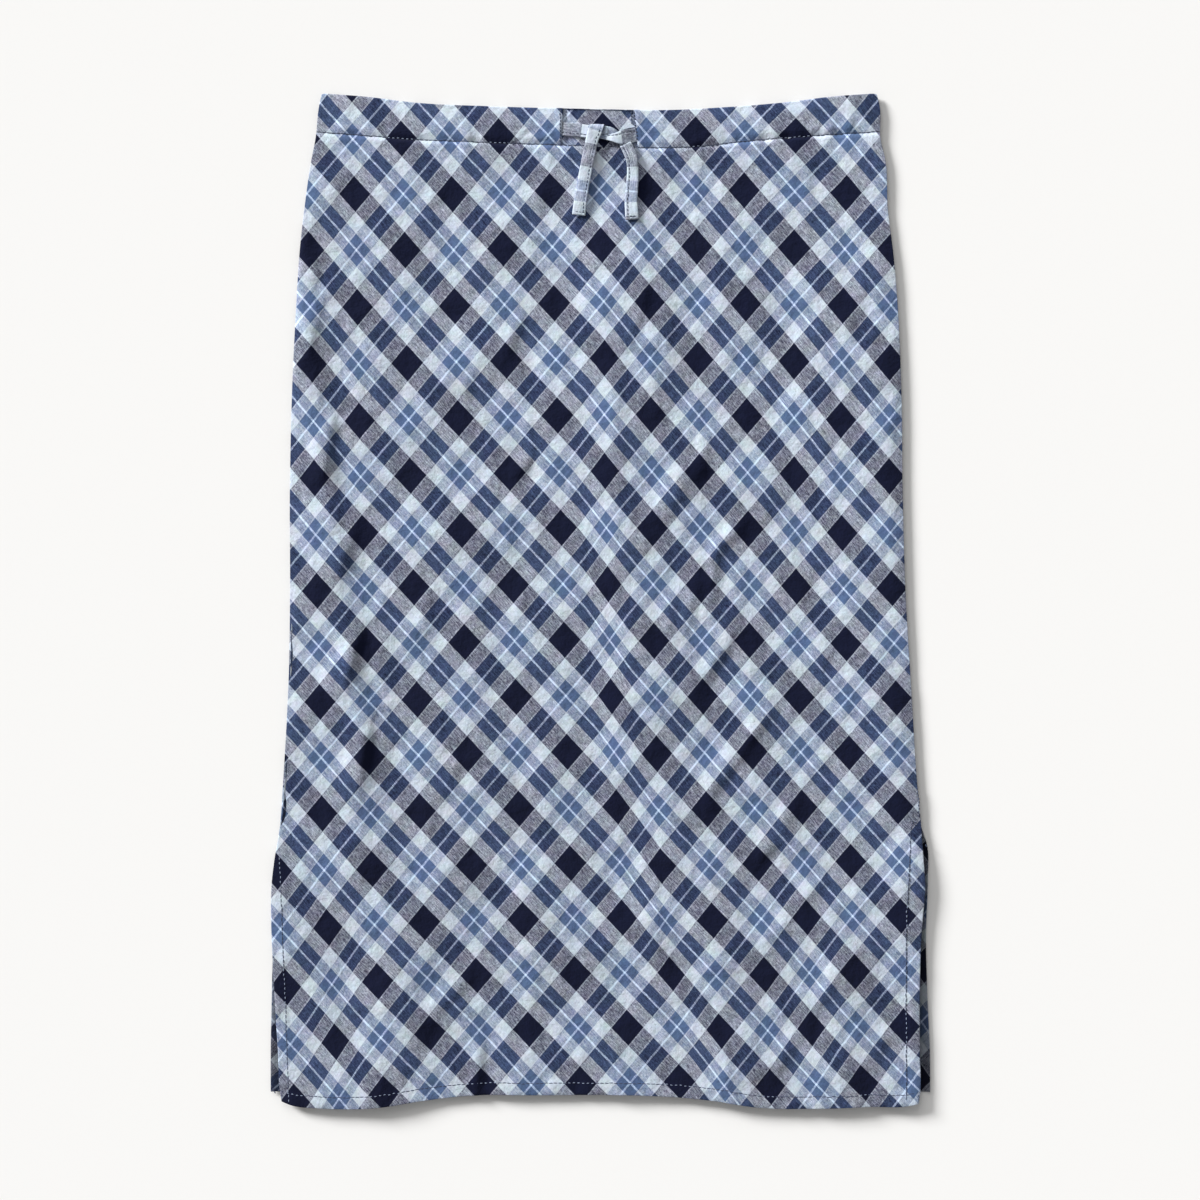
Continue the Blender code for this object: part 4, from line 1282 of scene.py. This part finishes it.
class SKIRT_OT_drawstring(bpy.types.Operator):
    """Makes the drawstring's two strands, tied in a half knot, and their stitching"""
    bl_idname = "skirt.drawstring"
    bl_label = "Drawstring"

    def execute(self, context):
        look = context.scene.skirt_look
        finish = plaid_finish("tie_plaid_cloth", look, 0.7)
        thread = thread_finish("tie_thread", look.thread, look.pale_thread)
        strands = (
            ("left_strand", LEFT_TO_RIGHT, Stripes(0.0157, 0.0500, 0.030, 0.062),
             ("drawstring_left_band", "drawstring_right_tail")),
            ("right_strand", RIGHT_TO_LEFT, Stripes(0.0117, 0.0470, 0.026, 0.050),
             ("drawstring_right_band", "drawstring_knot", "drawstring_left_tail")),
        )
        end_places = np.linspace(-0.48, 0.48, 12)[:, None]
        for seed, (name, stations, stripes, nodes) in enumerate(strands):
            places, centre, width, side, up, points, plaid = strand_surface(
                stations, stripes, 60 + seed)
            faces = tube_faces(len(places), 2 * TIE_SECTION)
            piece = make_object(name, points.reshape(-1, 3), faces, finish, plaid.reshape(-1, 2))
            last = int(np.argmin(abs(places[-1] - places - TIE_END_STITCH)))
            rows = []
            for face in (1, -1):
                raised = centre + up * TIE_THICK * 0.36 * face
                edge_row = raised + side * (width / 2 * TIE_STITCH * TIE_STITCHED_EDGE)[:, None]
                end_row = raised[last] + side[last] * width[last] * end_places
                rows.append(stitch_ends(edge_row, look.stitch * 0.8, 0.78))
                rows.append(stitch_ends(end_row, look.stitch * 0.7, 0.80))
            sewing = capsules(name + "_stitching", *joined(rows), look.thread_size, thread,
                              70 + seed)
            for item in (piece, sewing):
                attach(item, BODY)
            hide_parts(*nodes)
        return {"FINISHED"}


class SKIRT_OT_front(bpy.types.Operator):
    """Makes the front panel: its body and its casing with the open centre"""
    bl_idname = "skirt.front"
    bl_label = "Front panel"

    def execute(self, context):
        look = context.scene.skirt_look
        body = make_front_body(look)
        casing = make_front_casing(look)
        for piece in (body, casing):
            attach(piece, BODY)
        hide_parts("front_panel")
        return {"FINISHED"}


class SKIRT_OT_back(bpy.types.Operator):
    """Makes the back panel, which lies on the floor"""
    bl_idname = "skirt.back"
    bl_label = "Back panel"

    def execute(self, context):
        back = make_back(context.scene.skirt_look)
        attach(back, BODY)
        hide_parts("back_panel")
        return {"FINISHED"}


class SKIRT_OT_stitching(bpy.types.Operator):
    """Sews the casing, the window's edges, the hem and the slits"""
    bl_idname = "skirt.stitching"
    bl_label = "Topstitching"

    def execute(self, context):
        look = context.scene.skirt_look
        thread = thread_finish("topstitch_thread", look.thread, look.pale_thread)
        over = look.cloth / 2 + look.thread_size * 0.12
        rows = []

        across = np.linspace(0.008, 0.992, 500)
        y = stitch_line(across) + STITCH_RISE
        rows.append(on_front(x_across(across, y), y, over))
        y = front_hem_line(across) + HEM_STITCH
        rows.append(on_front(x_across(across, y), y, over + look.cloth * 0.5))
        for table in (LEFT_SLIT_ROW, RIGHT_SLIT_ROW):
            y = np.linspace(table[-1].y, table[0].y, 300)
            x = curve(y, [row.y for row in table], [row.x for row in table])
            rows.append(on_front(x, y, over + look.cloth * 0.5))
        starts, ends = joined(stitch_ends(row, look.stitch, 1.0) for row in rows)
        # painted shade: stitches off the navy checks take the dark thread colour, for the shade of the
        # sunken stitches
        tones = on_navy(starts[:, 0] / 2 + ends[:, 0] / 2, starts[:, 1] / 2 + ends[:, 1] / 2)
        shorter = (0.04 + 0.20 * tones)[:, None] * (ends - starts)
        sewing = capsules("topstitching", starts + shorter, ends - shorter, look.thread_size,
                          thread, 80, tones)

        rows = []
        t = np.linspace(0, 1, 20)
        for row in SHORT_ROWS:
            x = row.x_top + (row.x_low - row.x_top) * t
            y = row.top + (row.low - row.top) * t
            if row.layer == "inner":
                rows.append(np.stack([x, y, FRONT_TURN_MID + over + 0 * t], axis=1))
            else:
                rows.append(on_front(x, y, over + look.cloth * 0.3))
        short = joined(stitch_ends(row, look.stitch * 0.72, 0.8) for row in rows)
        window = capsules("window_stitching", *short, look.thread_size * 1.35, thread, 81)
        for item in (sewing, window):
            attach(item, BODY)
        return {"FINISHED"}


class SKIRT_PT_panel(bpy.types.Panel):
    """Lists the skirt's pieces and what can be changed on them"""
    bl_idname = "SKIRT_PT_panel"
    bl_label = "Plaid Midi Skirt"
    bl_space_type = "VIEW_3D"
    bl_region_type = "UI"
    bl_category = "Skirt"

    def draw(self, context):
        for group in (context.scene.skirt_look, context.scene.skirt_stage):
            box = self.layout.box()
            for name in group.__annotations__:
                box.prop(group, name)
        for operator in PIECES:
            self.layout.operator(operator.bl_idname)


PIECES = (SKIRT_OT_stage, SKIRT_OT_drawstring, SKIRT_OT_front, SKIRT_OT_back, SKIRT_OT_stitching)
CLASSES = (SkirtLook, SkirtStage, *PIECES, SKIRT_PT_panel)


def register():
    """Adds the classes, and their values to the scene."""
    for item in CLASSES:
        bpy.utils.register_class(item)
    bpy.types.Scene.skirt_look = bpy.props.PointerProperty(type=SkirtLook)
    bpy.types.Scene.skirt_stage = bpy.props.PointerProperty(type=SkirtStage)


def unregister():
    """Takes them out again."""
    del bpy.types.Scene.skirt_look
    del bpy.types.Scene.skirt_stage
    for item in reversed(CLASSES):
        bpy.utils.unregister_class(item)


def main():
    """Makes the stage and all pieces."""
    register()
    bpy.ops.skirt.stage()
    bpy.ops.skirt.drawstring()
    bpy.ops.skirt.front()
    bpy.ops.skirt.back()
    bpy.ops.skirt.stitching()


if __name__ == "__main__":
    main()
